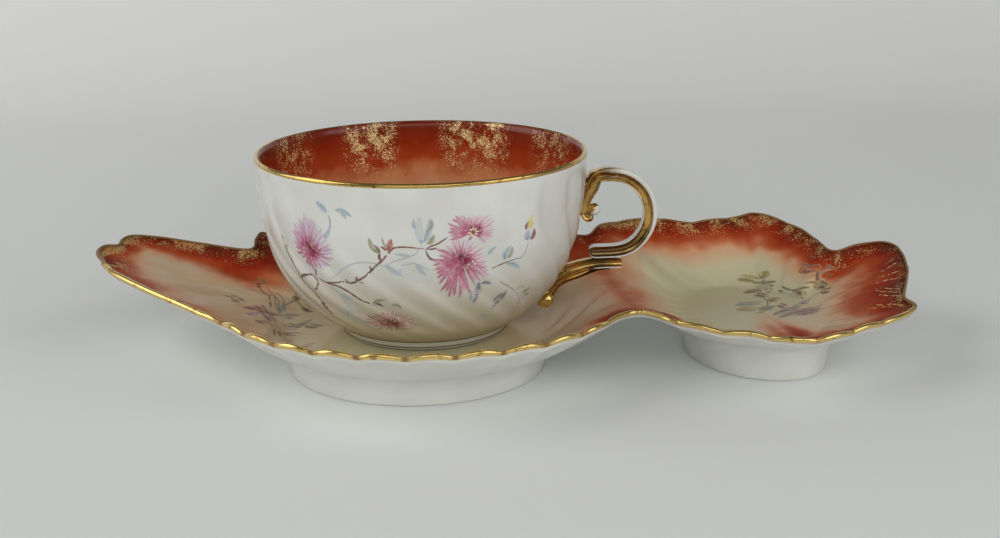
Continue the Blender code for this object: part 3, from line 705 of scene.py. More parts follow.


# The saucer's gilded edge: the rolled bead of the dish itself, brushed with gold and fired. It is
# bright and plain along the leaf's front, swells between the scallops, and is rubbed brown behind.
# In each scallop's cusp the gold is browned too, as painted shade in the crease.

BEAD_POINTS = 14
MAIN_BEAD = (  # (degrees, radius, how dull and brown the gold is)
    (37, 0.00040, 0.9), (132, 0.00040, 0.9), (140, 0.00050, 0.9), (147, 0.00045, 0.9),
    (153, 0.00040, 0.9), (157, 0.00045, 0.8), (161, 0.00060, 0.8), (166, 0.00076, 0.8),
    (170, 0.00082, 0.8), (174, 0.00092, 0.5), (177, 0.00096, 0.0), (196, 0.00094, 0.0),
    (204, 0.00085, 0.0), (336, 0.00080, 0.0),
)
SIDE_BEAD = (
    (214, 0.00080, 0.0), (318, 0.00085, 0.0), (328, 0.00085, 0.3), (336, 0.00075, 0.8),
    (346, 0.00045, 0.8), (356, 0.00040, 0.8), (400, 0.00040, 0.9), (499, 0.00040, 0.9),
)
# a brown for rubbed gold, used also as painted shade in the bead's cusps
WORN_AND_SHADED_GOLD = tint(146, 110, 64)
BEAD_SWELL = 0.50  # how much thicker the bead is on a scallop's crown than in its cusp
BEAD_WAIST = 0.34  # how much thinner than its plain radius the cusp is


def fired_gold(name, roughness, hues, dull=False):
    """Burnished gold on glaze: browner where it is thin, duller in small worn specks.

    Where asked, an attribute of the piece browns it further: rubbed wear, and painted shade in
    the cusps of the bead's scallops.
    """
    made, shader, start = new_material(name)
    worn = between(start, speckle(start, 420.0, 4.0, 0.6), 0.54, 0.72)
    colour = blend(start, worn, *hues)
    rough = roughness + 0.16 * worn + 0.06 * speckle(start, 160.0)
    metal = 0.95 - 0.15 * worn
    if dull:
        # rubbed wear behind, and painted shade in the cusps, as the piece's attribute gives them
        worn_and_shaded = read_attribute(start, "dull")
        worn_and_shaded = between(start, worn_and_shaded + (speckle(start, 500.0, 3.0) - 0.5) * 0.6, 0.25, 0.75)
        colour = blend(start, worn_and_shaded, colour, WORN_AND_SHADED_GOLD)
        rough = rough + 0.22 * worn_and_shaded
        metal = metal - 0.45 * worn_and_shaded
    wire(
        start, shader,
        Base_Color=colour,
        Roughness=rough,
        Metallic=metal,
        Normal=dimples(start, 500.0, 0.10, 0.0003),
    )
    return made


def tube(name, line, radii, points):
    """A closed round bead along a closed line, thicker and thinner as the radii say."""
    verts, faces = [], []
    count = len(line)
    for k, point in enumerate(line):
        along = (line[(k + 1) % count] - line[k - 1]).normalized()
        out = along.cross(Vector((0.0, 0.0, 1.0))).normalized()
        up = out.cross(along)
        for n in range(points):
            a = math.tau * n / points
            verts.append(point + (out * math.cos(a) + up * math.sin(a)) * radii[k])
            low, high = k * points, (k + 1) % count * points
            after = (n + 1) % points
            faces.append((low + n, low + after, high + after, high + n))
    mesh = bpy.data.meshes.new(name)
    mesh.from_pydata(verts, [], faces)
    return new_object(name, mesh)


bead_radii = [*along_edge(main_turns, MAIN_BEAD, 1), *along_edge(side_turns, SIDE_BEAD, 1)]
bead_wear_and_shade = [*along_edge(main_turns, MAIN_BEAD, 2), *along_edge(side_turns, SIDE_BEAD, 2)]
for k, share in enumerate(edge_scallops):
    crown = abs(math.sin(math.pi * k / STEPS_PER_SCALLOP))
    bead_radii[k] *= 1 + (BEAD_SWELL * crown - BEAD_WAIST) * share
    # painted shade: the gold browns in each scallop's cusp, where the crease lies in shade
    bead_wear_and_shade[k] = max(bead_wear_and_shade[k], 0.9 * share * (1 - crown) ** 2)
gilt_edge = tube("gilt_edge", edge, bead_radii, BEAD_POINTS)
add_attribute(gilt_edge.data, "dull", np.repeat(bead_wear_and_shade, BEAD_POINTS))
set_down(gilt_edge, CUP_AXIS, fired_gold("edge_gold", 0.19, GOLD, dull=True))
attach(gilt_edge, "saucer")
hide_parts("saucer_gilt_edge")


# The saucer's painting: loose sprigs in thin enamel on both wells, a thin brown line inside the
# leaf's front edge, and gold brushed in broken streaks along the fan of the right-hand tip.

INK_OLIVE = (tint(76, 66, 38), tint(110, 100, 66))
INK_GREY = (tint(80, 72, 54), tint(116, 108, 86))
INK_BLUE = (tint(118, 124, 120), tint(142, 144, 132))
INK_STRAW = (tint(136, 120, 62), tint(166, 150, 92))
INK_MAROON = (tint(92, 40, 34), tint(128, 74, 62))
INK_MAUVE = (tint(108, 66, 82), tint(144, 110, 112))
SPRIGS = (  # (places in mm from the cup's axis, width in mm, colours)
    (((-66.5, 9.7), (-63.7, 8.4), (-60.9, 6.7)), 1.9, INK_OLIVE),
    (((-57.9, 24.9), (-54.2, 19.4), (-51.5, 19.2), (-49.6, 16.2), (-48.7, 14.0)), 0.6, INK_GREY),
    (((-59.3, 26.0), (-57.4, 24.2), (-56.2, 22.4)), 1.5, INK_OLIVE),
    (((-52.9, 18.6), (-52.2, 14.5), (-51.5, 9.9)), 0.7, INK_GREY),
    (((-48.7, 14.0), (-46.1, 18.0), (-43.9, 19.6), (-41.3, 17.4), (-38.9, 16.6)), 0.7, INK_BLUE),
    (((-43.9, 19.6), (-44.2, 21.0), (-44.4, 23.2)), 1.6, INK_GREY),
    (((-42.4, 18.0), (-40.2, 16.8), (-38.0, 16.4)), 1.2, INK_GREY),
    (((-40.2, 24.1), (-39.3, 21.4), (-36.9, 20.1)), 0.9, INK_BLUE),
    (((-49.6, 15.4), (-49.0, 12.0), (-48.6, 8.6)), 1.3, INK_BLUE),
    (((-48.6, 8.0), (-46.1, 8.7), (-43.4, 10.4)), 2.0, INK_GREY),
    (((-46.0, -1.1), (-44.1, -1.7), (-42.0, -3.1)), 2.2, INK_OLIVE),
    (((-46.6, 1.8), (-44.8, 0.4), (-43.0, -0.8)), 1.3, INK_GREY),
    (((-42.0, -0.1), (-40.7, 1.6), (-36.2, 0.5), (-31.9, -0.1)), 0.6, INK_GREY),
    (((-42.0, 0.4), (-40.7, 3.3), (-39.2, 6.0)), 1.9, INK_BLUE),
    (((-39.6, 0.8), (-37.2, -0.6), (-34.6, -1.4)), 1.3, INK_GREY),
    (((-48.2, -10.1), (-47.6, -14.0), (-47.1, -17.8)), 0.8, INK_MAROON),
    (((-47.4, -10.4), (-44.1, -8.2), (-41.0, -9.0)), 1.4, INK_GREY),
    (((-39.8, -20.4), (-37.5, -19.9), (-35.4, -19.2)), 0.9, INK_MAROON),
    (((-59.8, 3.0), (-57.0, 3.2), (-54.6, 2.6)), 1.8, INK_MAUVE),
    (((-57.4, -5.0), (-55.8, -2.0), (-54.2, 1.0)), 1.7, INK_MAUVE),
    (((-54.8, -7.6), (-53.0, -7.0), (-51.0, -8.4)), 1.8, INK_MAUVE),
    (((-50.2, -1.6), (-52.0, 0.6), (-53.4, 2.2)), 1.7, INK_MAUVE),
    (((-49.6, 5.8), (-51.4, 4.4), (-53.2, 3.4)), 1.6, INK_MAUVE),
    (((-56.0, 8.6), (-55.0, 6.4), (-54.0, 4.0)), 1.4, INK_MAUVE),
    (((-55.0, 2.2), (-53.7, 3.0), (-52.3, 2.4)), 2.2, INK_MAROON),
    (((-54.4, 4.2), (-53.6, 2.6), (-53.0, 1.0)), 1.6, INK_MAROON),
    (((117.5, 31.3), (115.8, 25.2), (113.9, 21.6), (113.3, 17.0), (114.5, 9.7), (112.0, 0.2)),
     0.55, INK_GREY),
    (((108.2, 31.0), (112.2, 30.9), (115.4, 29.4)), 1.7, INK_STRAW),
    (((113.0, 30.0), (114.6, 29.4), (116.4, 28.6)), 1.0, INK_OLIVE),
    (((113.6, 26.6), (117.0, 25.4), (120.4, 25.2)), 2.0, INK_GREY),
    (((115.0, 25.4), (116.4, 24.0), (117.2, 22.6)), 1.6, INK_OLIVE),
    (((108.1, 20.0), (111.0, 20.8), (114.2, 22.2)), 1.6, INK_OLIVE),
    (((111.6, 17.4), (113.4, 15.8), (115.6, 15.4)), 2.0, INK_GREY),
    (((116.6, 21.9), (117.2, 20.9), (117.8, 19.3)), 0.8, INK_OLIVE),
    (((121.0, 21.4), (121.6, 18.9), (123.9, 15.9)), 1.2, INK_GREY),
    (((122.8, 17.1), (125.5, 15.4), (129.6, 15.8)), 1.9, INK_OLIVE),
    (((123.4, 15.9), (125.5, 13.4), (127.6, 11.7)), 1.9, INK_MAROON),
    (((129.1, 19.8), (133.1, 20.3), (136.5, 22.3), (140.4, 24.3)), 0.8, INK_GREY),
    (((136.0, 22.2), (137.8, 23.6), (140.0, 23.8)), 1.2, INK_OLIVE),
    (((133.4, 20.4), (134.4, 22.4), (134.6, 24.4)), 1.0, INK_GREY),
    (((132.2, 19.4), (134.2, 18.4), (135.7, 15.8)), 2.4, INK_OLIVE),
    (((133.1, 13.5), (134.5, 12.7), (136.6, 12.6)), 1.5, INK_OLIVE),
    (((129.3, 28.9), (131.8, 25.6), (134.9, 23.8)), 1.0, INK_MAUVE),
    (((130.2, 30.0), (130.6, 27.6), (131.8, 26.0)), 1.5, INK_GREY),
    (((102.5, 5.7), (107.2, 6.5), (112.3, 6.8)), 1.8, INK_BLUE),
    (((102.1, 0.8), (105.7, 0.8), (109.4, -0.4)), 2.2, INK_STRAW),
    (((109.4, 1.6), (112.0, 0.7), (115.0, 2.0)), 2.0, INK_OLIVE),
    (((107.4, -3.2), (110.0, -2.6), (112.0, -0.9)), 1.0, INK_STRAW),
    (((117.0, 5.2), (117.8, 3.4), (118.5, 1.2)), 1.4, INK_MAROON),
    (((114.5, 9.7), (116.4, 10.4), (118.5, 10.2)), 1.6, INK_OLIVE),
    (((112.9, -5.8), (118.2, -1.3), (123.8, 1.6)), 1.7, INK_MAUVE),
    (((114.3, -8.5), (121.0, -3.6), (130.5, 0.7)), 1.8, INK_MAUVE),
    (((120.0, -6.0), (124.4, -4.6), (129.6, -1.4)), 1.8, INK_MAUVE),
    (((118.2, -2.6), (120.6, 0.6), (123.2, 3.6)), 1.4, INK_BLUE),
    (((122.4, -5.6), (124.6, -4.2), (126.6, -3.8)), 1.8, INK_MAROON),
    (((124.2, 5.8), (126.0, 6.8), (128.2, 7.3)), 1.5, INK_BLUE),
)
STRAW_BUD = ((116.4, 31.0), (118.1, 32.6), (119.6, 35.2))
STREAKS = (  # (inner end, outer end) of the gold streaks on the tip, in mm from the cup's axis
    ((148.8, 2.8), (154.5, -6.1)), ((147.8, -4.1), (152.5, -11.4)), ((149.9, 7.0), (156.9, 3.9)),
    ((151.6, 10.6), (158.6, 9.8)), ((154.1, 15.4), (160.5, 17.8)), ((156.8, 19.9), (160.5, 21.5)),
    ((145.2, -11.6), (152.2, -18.6)), ((142.0, -12.0), (148.8, -16.3)), ((148.0, 0.0), (153.6, -9.0)),
)
LEAF_LINE = (tint(118, 80, 66), tint(150, 96, 74))
LEAF_LINE_INSET = 0.0026
LEAF_FRONT = (176, 203)  # degrees round the cup's axis
BESIDE = (1.4, 2.4)  # mm from a sprig's touch to the paler one next to it
STROKE_RAISE = 0.00003  # of a touch's middle over its sides
FIRST_LIFT = 0.00001  # of a painting's first touch off the glaze
TOUCH_LIFT = 0.0000002  # by which each touch lies over the one before
STROKE_STEP = 0.8  # mm between the points along a touch


def turn_outwards(mesh):
    skin = bmesh.new()
    skin.from_mesh(mesh)
    bmesh.ops.recalc_face_normals(skin, faces=skin.faces)
    skin.to_mesh(mesh)
    skin.free()


def mixed(first, second, share):
    return [a + (b - a) * share for a, b in zip(first, second)]


class Painting:
    """Touches of a brush gathered into one piece, each a thin closed ridge of colour on the glaze.

    lay gives the glaze's point and normal at a place, surface is that glaze, and ground is the
    colour that a touch thins out to along its edges.
    """

    def __init__(self, lay, surface, ground):
        self.lay = lay
        self.surface = surface
        self.ground = ground
        self.verts = []
        self.faces = []
        self.colours = []
        self.grounds = []
        self.lift = FIRST_LIFT

    def put(self, point, normal, lift, colour):
        self.verts.append(point + normal * (self.lift + lift))
        self.colours.append(colour)
        self.grounds.append(self.ground)

    def touch(self, places, width, *colours, soft=0.4, belly=0.5, blunt=0.7):
        """One touch along a line of places, fullest at belly, from the first colour to the last."""
        line = [Vector((place[0], place[1], 0.0)) for place in places]
        length = sum((b - a).length for a, b in zip(line, line[1:]))
        steps = max(6, round(length / STROKE_STEP))
        ends = [2 * line[0] - line[1], *line, 2 * line[-1] - line[-2]]
        spots = [self.lay(p.x, p.y) for p in [*smooth_line(ends, steps), line[-1]]]
        if any(point is None for point, normal in spots):
            return
        first = len(self.verts)
        bend = math.log(0.5) / math.log(belly)
        for k, (point, normal) in enumerate(spots):
            t = k / steps
            at = t * (len(colours) - 1)
            low = min(int(at), len(colours) - 2)
            colour = mixed(colours[low], colours[low + 1], at - low)
            edge_colour = mixed(colour, self.ground, soft)
            if k in (0, steps):
                self.put(point, normal, 0.0, edge_colour)
                continue
            along = spots[k + 1][0] - spots[k - 1][0]
            side = normal.cross(along).normalized()
            side *= width / 2000 * math.sin(math.pi * t ** bend) ** blunt
            left, left_normal = self.surface.find_nearest(point + side)[:2]
            right, right_normal = self.surface.find_nearest(point - side)[:2]
            self.put(left, left_normal, 0.0, edge_colour)
            self.put(point, normal, STROKE_RAISE, colour)
            self.put(right, right_normal, 0.0, edge_colour)
        for k in range(steps - 2):
            low = first + 1 + 3 * k
            for a, b in ((0, 1), (1, 2), (2, 0)):
                self.faces.append((low + a, low + b, low + 3 + b, low + 3 + a))
        last = len(self.verts) - 1
        for a, b in ((0, 1), (1, 2), (2, 0)):
            self.faces.append((first, first + 1 + b, first + 1 + a))
            self.faces.append((last, last - 3 + a, last - 3 + b))
        self.lift += TOUCH_LIFT

    def finish(self, name, body, gold=False):
        mesh = bpy.data.meshes.new(name)
        mesh.from_pydata(self.verts, [], self.faces)
        turn_outwards(mesh)
        for kind, values in (("paint", self.colours), ("ground", self.grounds)):
            layer = mesh.attributes.new(kind, "FLOAT_COLOR", "POINT")
            layer.data.foreach_set("color", np.asarray(values, np.float32).ravel())
        made, shader, start = new_material(name, Specular_IOR_Level=0.2)
        if gold:
            shader.inputs["Metallic"].default_value = 0.3
        colour = start.node("ShaderNodeAttribute", {"attribute_name": "paint"})
        ground = start.node("ShaderNodeAttribute", {"attribute_name": "ground"})
        thin = between(start, speckle(start, 700.0, 3.0), 0.45, 0.8) * 0.5
        wire(
            start, shader,
            Base_Color=blend(start, thin, colour, ground),
            Roughness=0.16 + 0.12 * speckle(start, 300.0),
        )
        piece = new_object(name, mesh)
        set_down(piece, Vector(), made, 60.0)
        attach(piece, body)


def lay_on_dish(x, y):
    """The glaze at a place of the saucer, in mm from the cup's axis, with its normal."""
    start = CUP_AXIS + Vector((x / 1000, y / 1000, 0.06))
    return dish_surface.ray_cast(start, Vector((0.0, 0.0, -1.0)))[:2]


def dish_colour(x, y):
    """The sprayed colour at a place of the saucer, in mm from the cup's axis."""
    red = blush_at(np.array([[x / 1000, y / 1000]]))[0]
    shares, hues = zip(*BLUSH_STOPS)
    return [float(np.interp(red, shares, values)) for values in zip(*hues)]


chance = random.Random(3)
sprigs = Painting(lay_on_dish, dish_surface, BLUSH_STOPS[0][1])
for places, width, (dark, pale) in SPRIGS:
    sprigs.ground = dish_colour(*places[1])
    broad = width * (1.5 if width < 1.1 else 2.0)
    beside = [(x + BESIDE[0], y + BESIDE[1]) for x, y in places]
    sprigs.touch(beside, broad * 0.6, pale, pale, soft=0.6)
    sprigs.touch(places, broad, dark, dark, pale, soft=0.7, belly=0.45)
    sprigs.touch(places, width * 0.8, dark, dark, soft=0.6)
sprigs.touch(STRAW_BUD, 4.2, *INK_STRAW, soft=0.5)
sprigs.touch(STRAW_BUD[:2], 2.0, *INK_OLIVE, soft=0.5)
sprigs.finish("saucer_painting", "saucer")

leaf_line = Painting(lay_on_dish, dish_surface, BLUSH_STOPS[2][1])
inner_line = inset(edge, LEAF_LINE_INSET)
front = [k for k in range(main_steps) if LEAF_FRONT[0] < main_turns[k] < LEAF_FRONT[1]]
leaf_line.touch([inner_line[k] * 1000 for k in front[::4]], 1.3, *LEAF_LINE, soft=0.6, blunt=0.4)
leaf_line.finish("leaf_line", "saucer")

streaks = Painting(lay_on_dish, dish_surface, BLUSH_STOPS[3][1])
for inner_end, outer_end in STREAKS:
    inner_end, outer_end = Vector(inner_end), Vector(outer_end)
    at = 0.0
    while at < 0.95:
        until = min(at + chance.uniform(0.10, 0.35), 1.0)
        aside = Vector((chance.uniform(-0.3, 0.3), chance.uniform(-0.3, 0.3)))
        places = (inner_end.lerp(outer_end, at) + aside, inner_end.lerp(outer_end, until) + aside)
        streaks.touch(places, chance.uniform(0.4, 0.9), SPONGED_GOLD, SPONGED_GOLD, soft=0.2)
        at = until + chance.uniform(0.0, 0.08)
streaks.finish("tip_streaks", "saucer", gold=True)


# The cup's foot: a low turned ring luted under the bowl, white glazed, with two thin gold lines
# run on with a brush while the cup turned on a wheel.

CUP_BASE = 0.0118
CUP_FOOT_PROFILE = (  # (radius, height) from the inner root round to the junction with the bowl
    (0.0240, 0.0031), (0.0234, 0.0012), (0.0234, 0.0002), (0.0237, 0.0), (0.0258, 0.0),
    (0.0263, 0.0001), (0.0265, 0.0004), (0.0268, 0.0012), (0.0273, 0.0020), (0.0277, 0.0026),
    (0.0279, 0.0030),
)
LINE_GOLD = (tint(104, 84, 46), tint(140, 112, 60))
FOOT_LINES = ((0.0267, 0.0009, 0.00022), (0.0280, 0.0030, 0.00020))  # (radius, height, thickness)

cup_place = CUP_AXIS + Vector((0.0, 0.0, CUP_BASE))
cup_foot = closed_ring("cup_foot", FOOT_POINTS, round_profile(CUP_FOOT_PROFILE))
set_down(cup_foot, cup_place, glaze)
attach(cup_foot, "cup")
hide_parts("cup_foot_ring")

line_gold, shader, start = new_material("line_gold", Metallic=0.35)
wire(
    start, shader,
    Base_Color=blend(start, speckle(start, 300.0), *LINE_GOLD),
    Roughness=0.32 + 0.2 * speckle(start, 400.0),
)
for number, (radius, height, thick) in enumerate(FOOT_LINES, 1):
    circle = []
    for k in range(FOOT_POINTS):
        a = math.tau * k / FOOT_POINTS
        circle.append(Vector((radius * math.cos(a), radius * math.sin(a), height)))
    foot_line = tube(f"foot_line_{number}", circle, [thick] * FOOT_POINTS, 8)
    set_down(foot_line, cup_place, line_gold)
    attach(foot_line, "cup")


# The cup's bowl: thin slip-cast porcelain, white outside with swirled flutes that straighten
# towards the rim. Inside, iron red is sprayed from the lip down and sponged with gold in patches.

BOWL_BASE = 0.0029
BOWL_TOP = 0.0568
BOWL_FOOT = 0.0278
BOWL_RIM = 0.0525
BOWL_CURVE = (  # (share of the height, share of the way from the foot's to the rim's radius)
    (0.000, 0.00), (0.045, 0.16), (0.105, 0.34), (0.195, 0.53), (0.295, 0.68),
    (0.405, 0.795), (0.520, 0.875), (0.660, 0.94), (0.820, 0.98), (1.000, 1.00),
)
BOWL_LIP = (  # (radius, height) over the rounded top, from the outer to the inner wall
    (0.05245, 0.0574), (0.0522, 0.0579), (0.0518, 0.0582), (0.0514, 0.0581), (0.0509, 0.0577),
)
CUP_WALL = 0.0026
CUP_LIP_WALL = 0.0020
CUP_FLUTES = 24
CUP_FLUTE_DEPTH = 0.0008
CUP_SWIRL = math.radians(60)
BOWL_POINTS = 288
BOWL_RINGS = 44
INNER_START = 9  # the ring of the outside above which the inside follows it
INNER_FLUTES = 0.6  # depth of the flutes inside, as a share of the outer ones
BOTTOM_RADII = (0.004, 0.016, 0.0255)  # of the rings under the bowl, from the middle out
BOTTOM_STEPS = 8  # rings over which the inner wall turns into the floor
OUTER_LIP_RINGS = 3
FLUTED_FROM = 0.02  # the radius outside which the bowl is fluted


def wall_radius(height):
    """The bowl's outer radius at a height over the cup's foot, as a smooth curve without flutes."""
    share = min(max((height - BOWL_BASE) / (BOWL_TOP - BOWL_BASE), 0.0), 1.0)
    at = 0
    while share > BOWL_CURVE[at + 1][0]:
        at += 1
    (x0, y0), (x1, y1) = BOWL_CURVE[at], BOWL_CURVE[at + 1]
    before = BOWL_CURVE[at - 1] if at else (x0 - 0.045, y0 - 0.19)
    after = BOWL_CURVE[at + 2] if at + 2 < len(BOWL_CURVE) else (x1 + 0.18, y1 + 0.012)
    lean0 = (y1 - before[1]) / (x1 - before[0])
    lean1 = (after[1] - y0) / (after[0] - x0)
    t = (share - x0) / (x1 - x0)
    out = y0 * (1 + 2 * t) * (1 - t) ** 2 + y1 * t * t * (3 - 2 * t)
    out += (x1 - x0) * (lean0 * t * (1 - t) ** 2 - lean1 * t * t * (1 - t))
    return BOWL_FOOT + (BOWL_RIM - BOWL_FOOT) * out


def flute_cut(angle, height):
    """How far a flute draws the wall in at that place."""
    share = (height - BOWL_BASE) / (BOWL_TOP - BOWL_BASE)
    swirl = CUP_SWIRL * max(1 - share / 0.8, 0.0) ** 1.6
    depth = CUP_FLUTE_DEPTH * ease(share / 0.16) * ease((1 - share) / 0.10)
    depth *= 0.60 + 0.40 * ease((0.75 - share) / 0.5)
    return depth * (0.5 - flute(CUP_FLUTES * (angle - swirl) / math.tau))


heights = []
for k in range(BOWL_RINGS + 1):
    heights.append(BOWL_BASE + (BOWL_TOP - BOWL_BASE) * (k / BOWL_RINGS) ** 1.15)
outer_profile = [(wall_radius(h), h) for h in heights]
inner_profile = []
for radius, height in reversed(outer_profile[INNER_START:]):
    share = (height - BOWL_BASE) / (BOWL_TOP - BOWL_BASE)
    inner_profile.append((radius - CUP_WALL + (CUP_WALL - CUP_LIP_WALL) * share ** 2, height))
floor_height = BOWL_BASE + CUP_WALL
last_radius, last_height = inner_profile[-1]
for k in range(1, BOTTOM_STEPS + 1):
    a = math.pi / 2 * k / BOTTOM_STEPS
    inner_profile.append((
        last_radius - (last_radius - BOTTOM_RADII[0]) * (1 - math.cos(a)) * 0.999,
        last_height - (last_height - floor_height) * math.sin(a),
    ))
bowl_profile = [(radius, BOWL_BASE) for radius in BOTTOM_RADII]
outer_rings = len(bowl_profile) + len(outer_profile) + OUTER_LIP_RINGS
bowl_profile += [*outer_profile, *BOWL_LIP, *inner_profile]
bowl_profile = round_profile(bowl_profile)
bowl = open_ring("bowl", BOWL_POINTS, bowl_profile[0][:2], BOWL_BASE)
bpy.ops.mesh.edge_face_add()
bpy.ops.mesh.select_all(action="SELECT")
bpy.ops.mesh.region_to_loop()
draw_out(bowl_profile)
bpy.ops.mesh.edge_face_add()
bpy.ops.mesh.select_all(action="SELECT")
bpy.ops.mesh.normals_make_consistent(inside=False)
bpy.ops.object.mode_set(mode="OBJECT")
inside = np.zeros(len(bowl.data.vertices))
for vert in bowl.data.vertices:
    ring = vert.index // BOWL_POINTS
    inside[vert.index] = ring >= outer_rings
    radius = vert.co.xy.length
    if BOWL_BASE < vert.co.z < BOWL_TOP and radius > FLUTED_FROM:
        cut = flute_cut(math.atan2(vert.co.y, vert.co.x), vert.co.z)
        if ring >= outer_rings:
            cut *= INNER_FLUTES
        vert.co.xy *= (radius - cut) / radius
add_attribute(bowl.data, "inside", inside)

SPONGE_PATCHES = (  # (degrees round the cup, width, strength) of the gold sponging inside
    (112, 10, 1.0), (69, 13, 1.0), (150, 11, 0.6), (30, 12, 0.6), (-20, 12, 0.8),
    (-62, 14, 0.9), (-105, 12, 0.8), (-150, 14, 0.9), (188, 8, 0.5),
)
SPONGE_DROP = 0.018  # how far under the lip the sponging runs
BOWL_GOLD = tint(252, 226, 162)
SPECK_BROWN = tint(70, 40, 30)
LOW_PAINTED_SHADE = tint(184, 164, 130)  # painted shade and reflection of the saucer's well, browning the wall towards the foot
LOW_PAINTED_SHADE_BAND = (0.030, 0.006)  # heights over the cup's foot at which it starts and is full
INSIDE_BAND = (0.026, 0.056)  # heights between which the inside turns from ivory to deep red
INSIDE_STOPS = (
    (0.0, tint(216, 178, 150)), (0.24, tint(212, 166, 130)), (0.44, tint(204, 130, 84)),
    (0.62, tint(164, 62, 26)), (0.82, tint(136, 40, 14)), (1.0, tint(112, 34, 14)),
)
sponge = np.zeros(len(inside))
for vert in bowl.data.vertices:
    degrees = math.degrees(math.atan2(vert.co.y, vert.co.x))
    for middle, width, strength in SPONGE_PATCHES:
        away = abs((degrees - middle + 180) % 360 - 180) / width
        sponge[vert.index] = max(sponge[vert.index], strength * ease(1.5 - away))
    drop = (BOWL_TOP - vert.co.z) / SPONGE_DROP
    sponge[vert.index] *= inside[vert.index] * ease(1.25 - drop)
add_attribute(bowl.data, "sponge", sponge)


def height_share(start, height, band):
    """0 to 1 over a band of heights above the cup's foot."""
    low, high = band
    return start.node("ShaderNodeMapRange", (), {0: height, 1: CUP_BASE + low, 2: CUP_BASE + high})


painted_bowl, shader, start = new_material("painted_bowl", Specular_IOR_Level=0.32)
inner = read_attribute(start, "inside")
sponge = read_attribute(start, "sponge")
height = coordinate(start, 2)
depth = height_share(start, height, INSIDE_BAND)
colour = start.node(
    "ShaderNodeValToRGB", {"stops": INSIDE_STOPS},
    {0: depth + (speckle(start, 70.0, 4.0, 0.6) - 0.5) * 0.5},
)
gold_share = sponged(start, sponge, 2400.0, 260.0, (0.36, 0.64), 0.72) * inner
specks = between(start, speckle(start, 420.0, 1.0), 0.72, 0.77) * inner * depth
colour = blend(start, specks * 0.6, colour, SPECK_BROWN)
colour = blend(start, gold_share, colour, BOWL_GOLD)
# painted shade: the white outside browns towards the foot, in place of shade and the saucer's
# reflection
low = height_share(start, height, LOW_PAINTED_SHADE_BAND)
outside_with_painted_shade = blend(start, low * 0.8, white_clouds(start), LOW_PAINTED_SHADE)
wire(
    start, shader,
    Base_Color=blend(start, inner, outside_with_painted_shade, colour),
    Roughness=0.12 + 0.10 * speckle(start, 140.0) + 0.16 * gold_share,
    Metallic=gold_share * 0.35,
    Normal=dimples(start, 260.0, 0.06, 0.0004),
)
set_down(bowl, cup_place, painted_bowl)
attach(bowl, "cup")
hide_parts("cup_bowl")
bowl_surface = surface_of(bowl)


# The gilded lip: a band of gold brushed over the top and the outer side of the bowl's rounded rim,
# rubbed thin in small specks where it has been drunk from.

LIP_BAND = 0.00010  # how far the gold stands off the glaze
LIP_TOP = 0.0572  # the height from which it stands up off the glaze too
LIP_GOLD = (tint(212, 178, 104), tint(112, 84, 42))
LIP_PROFILE = (  # (radius, height) of the glaze under the gold, from inside the rim to its outer side
    (0.0514, 0.0581), (0.0518, 0.0582), (0.0522, 0.0579), (0.05235, 0.05765), (0.05242, 0.0571),
)

lip_profile = [(radius - LIP_BAND * 2, height - LIP_BAND * 4) for radius, height in LIP_PROFILE[::-1]]
for radius, height in LIP_PROFILE:
    lip_profile.append((radius + LIP_BAND, height + LIP_BAND * (height > LIP_TOP)))
lip = closed_ring("gilt_lip", BOWL_POINTS, round_profile(lip_profile))
set_down(lip, cup_place, fired_gold("lip_gold", 0.16, LIP_GOLD))
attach(lip, "cup")
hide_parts("cup_gilt_lip")


# The handle's scroll: a press-moulded C-scroll luted to the bowl, white glazed with raised borders
# and a gilded channel along both sides. Its gilded upper end curls into a volute beside the wall,
# and a short gilded root ties the top of the loop to the rim.

CUP_HEIGHT = 0.0584
GLAZE_GAP = 0.0003
SCROLL_TOP = CUP_HEIGHT - 0.0092
SCROLL_REACH = 0.0210
SCROLL_DROP = 0.0254
SCROLL_DEPTH = 0.0048
SCROLL_WIDTH = 0.0048
CHANNEL_GOLD_AND_DARK_REFLECTION = (tint(206, 164, 88), tint(122, 94, 54))  # bright gold, and a dark painted reflection of the room that blotches it
WORN_GOLD = tint(112, 82, 40)
VOLUTE_DROP = 0.0125
VOLUTE_POINTS = (  # (out from the wall, over the volute's middle), from its inner end upwards
    (0.0040, -0.0010), (0.0024, -0.0014), (0.0012, 0.0004),
    (0.0016, VOLUTE_DROP * 0.32), (0.0034, VOLUTE_DROP * 0.62),
)
LOOP_DEGREES = (107, 70, 35, 0, -35, -70)
VOLUTE_SCALE = 0.60
SCROLL_END_SCALE = 0.84
ROOT_DEPTH = 0.0028
ROOT_DROP = 0.0026  # of the root's middle where it meets the wall, under the scroll's top
STRAP_STEPS = 130
ROUNDED_STEPS = 4  # at each end of a strap
CHANNEL_EDGE = 0.30  # where the outer border ends in the section below, as a share of the half depth
STRAP_SECTION = (  # (share of the half depth, share of the half width, in the channel)
    (1.00, 0.00, 0), (1.00, 0.42, 0), (0.97, 0.70, 0), (0.90, 0.90, 0), (0.78, 0.99, 0),
    (0.60, 1.00, 0), (0.42, 0.98, 0), (0.34, 0.94, 0), (0.27, 0.84, 1), (0.18, 0.70, 1),
    (0.04, 0.58, 1), (-0.14, 0.50, 1), (-0.34, 0.46, 1), (-0.54, 0.46, 1), (-0.70, 0.50, 1),
    (-0.81, 0.57, 1), (-0.87, 0.63, 0), (-0.94, 0.62, 0), (-0.98, 0.52, 0), (-1.00, 0.36, 0),
    (-1.00, 0.00, 0),
)
SCROLL_CHANNEL = ((0.0, 0.93), (0.14, 0.92), (0.30, 0.34), (0.60, 0.30), (0.80, 0.76), (1.0, 0.84))
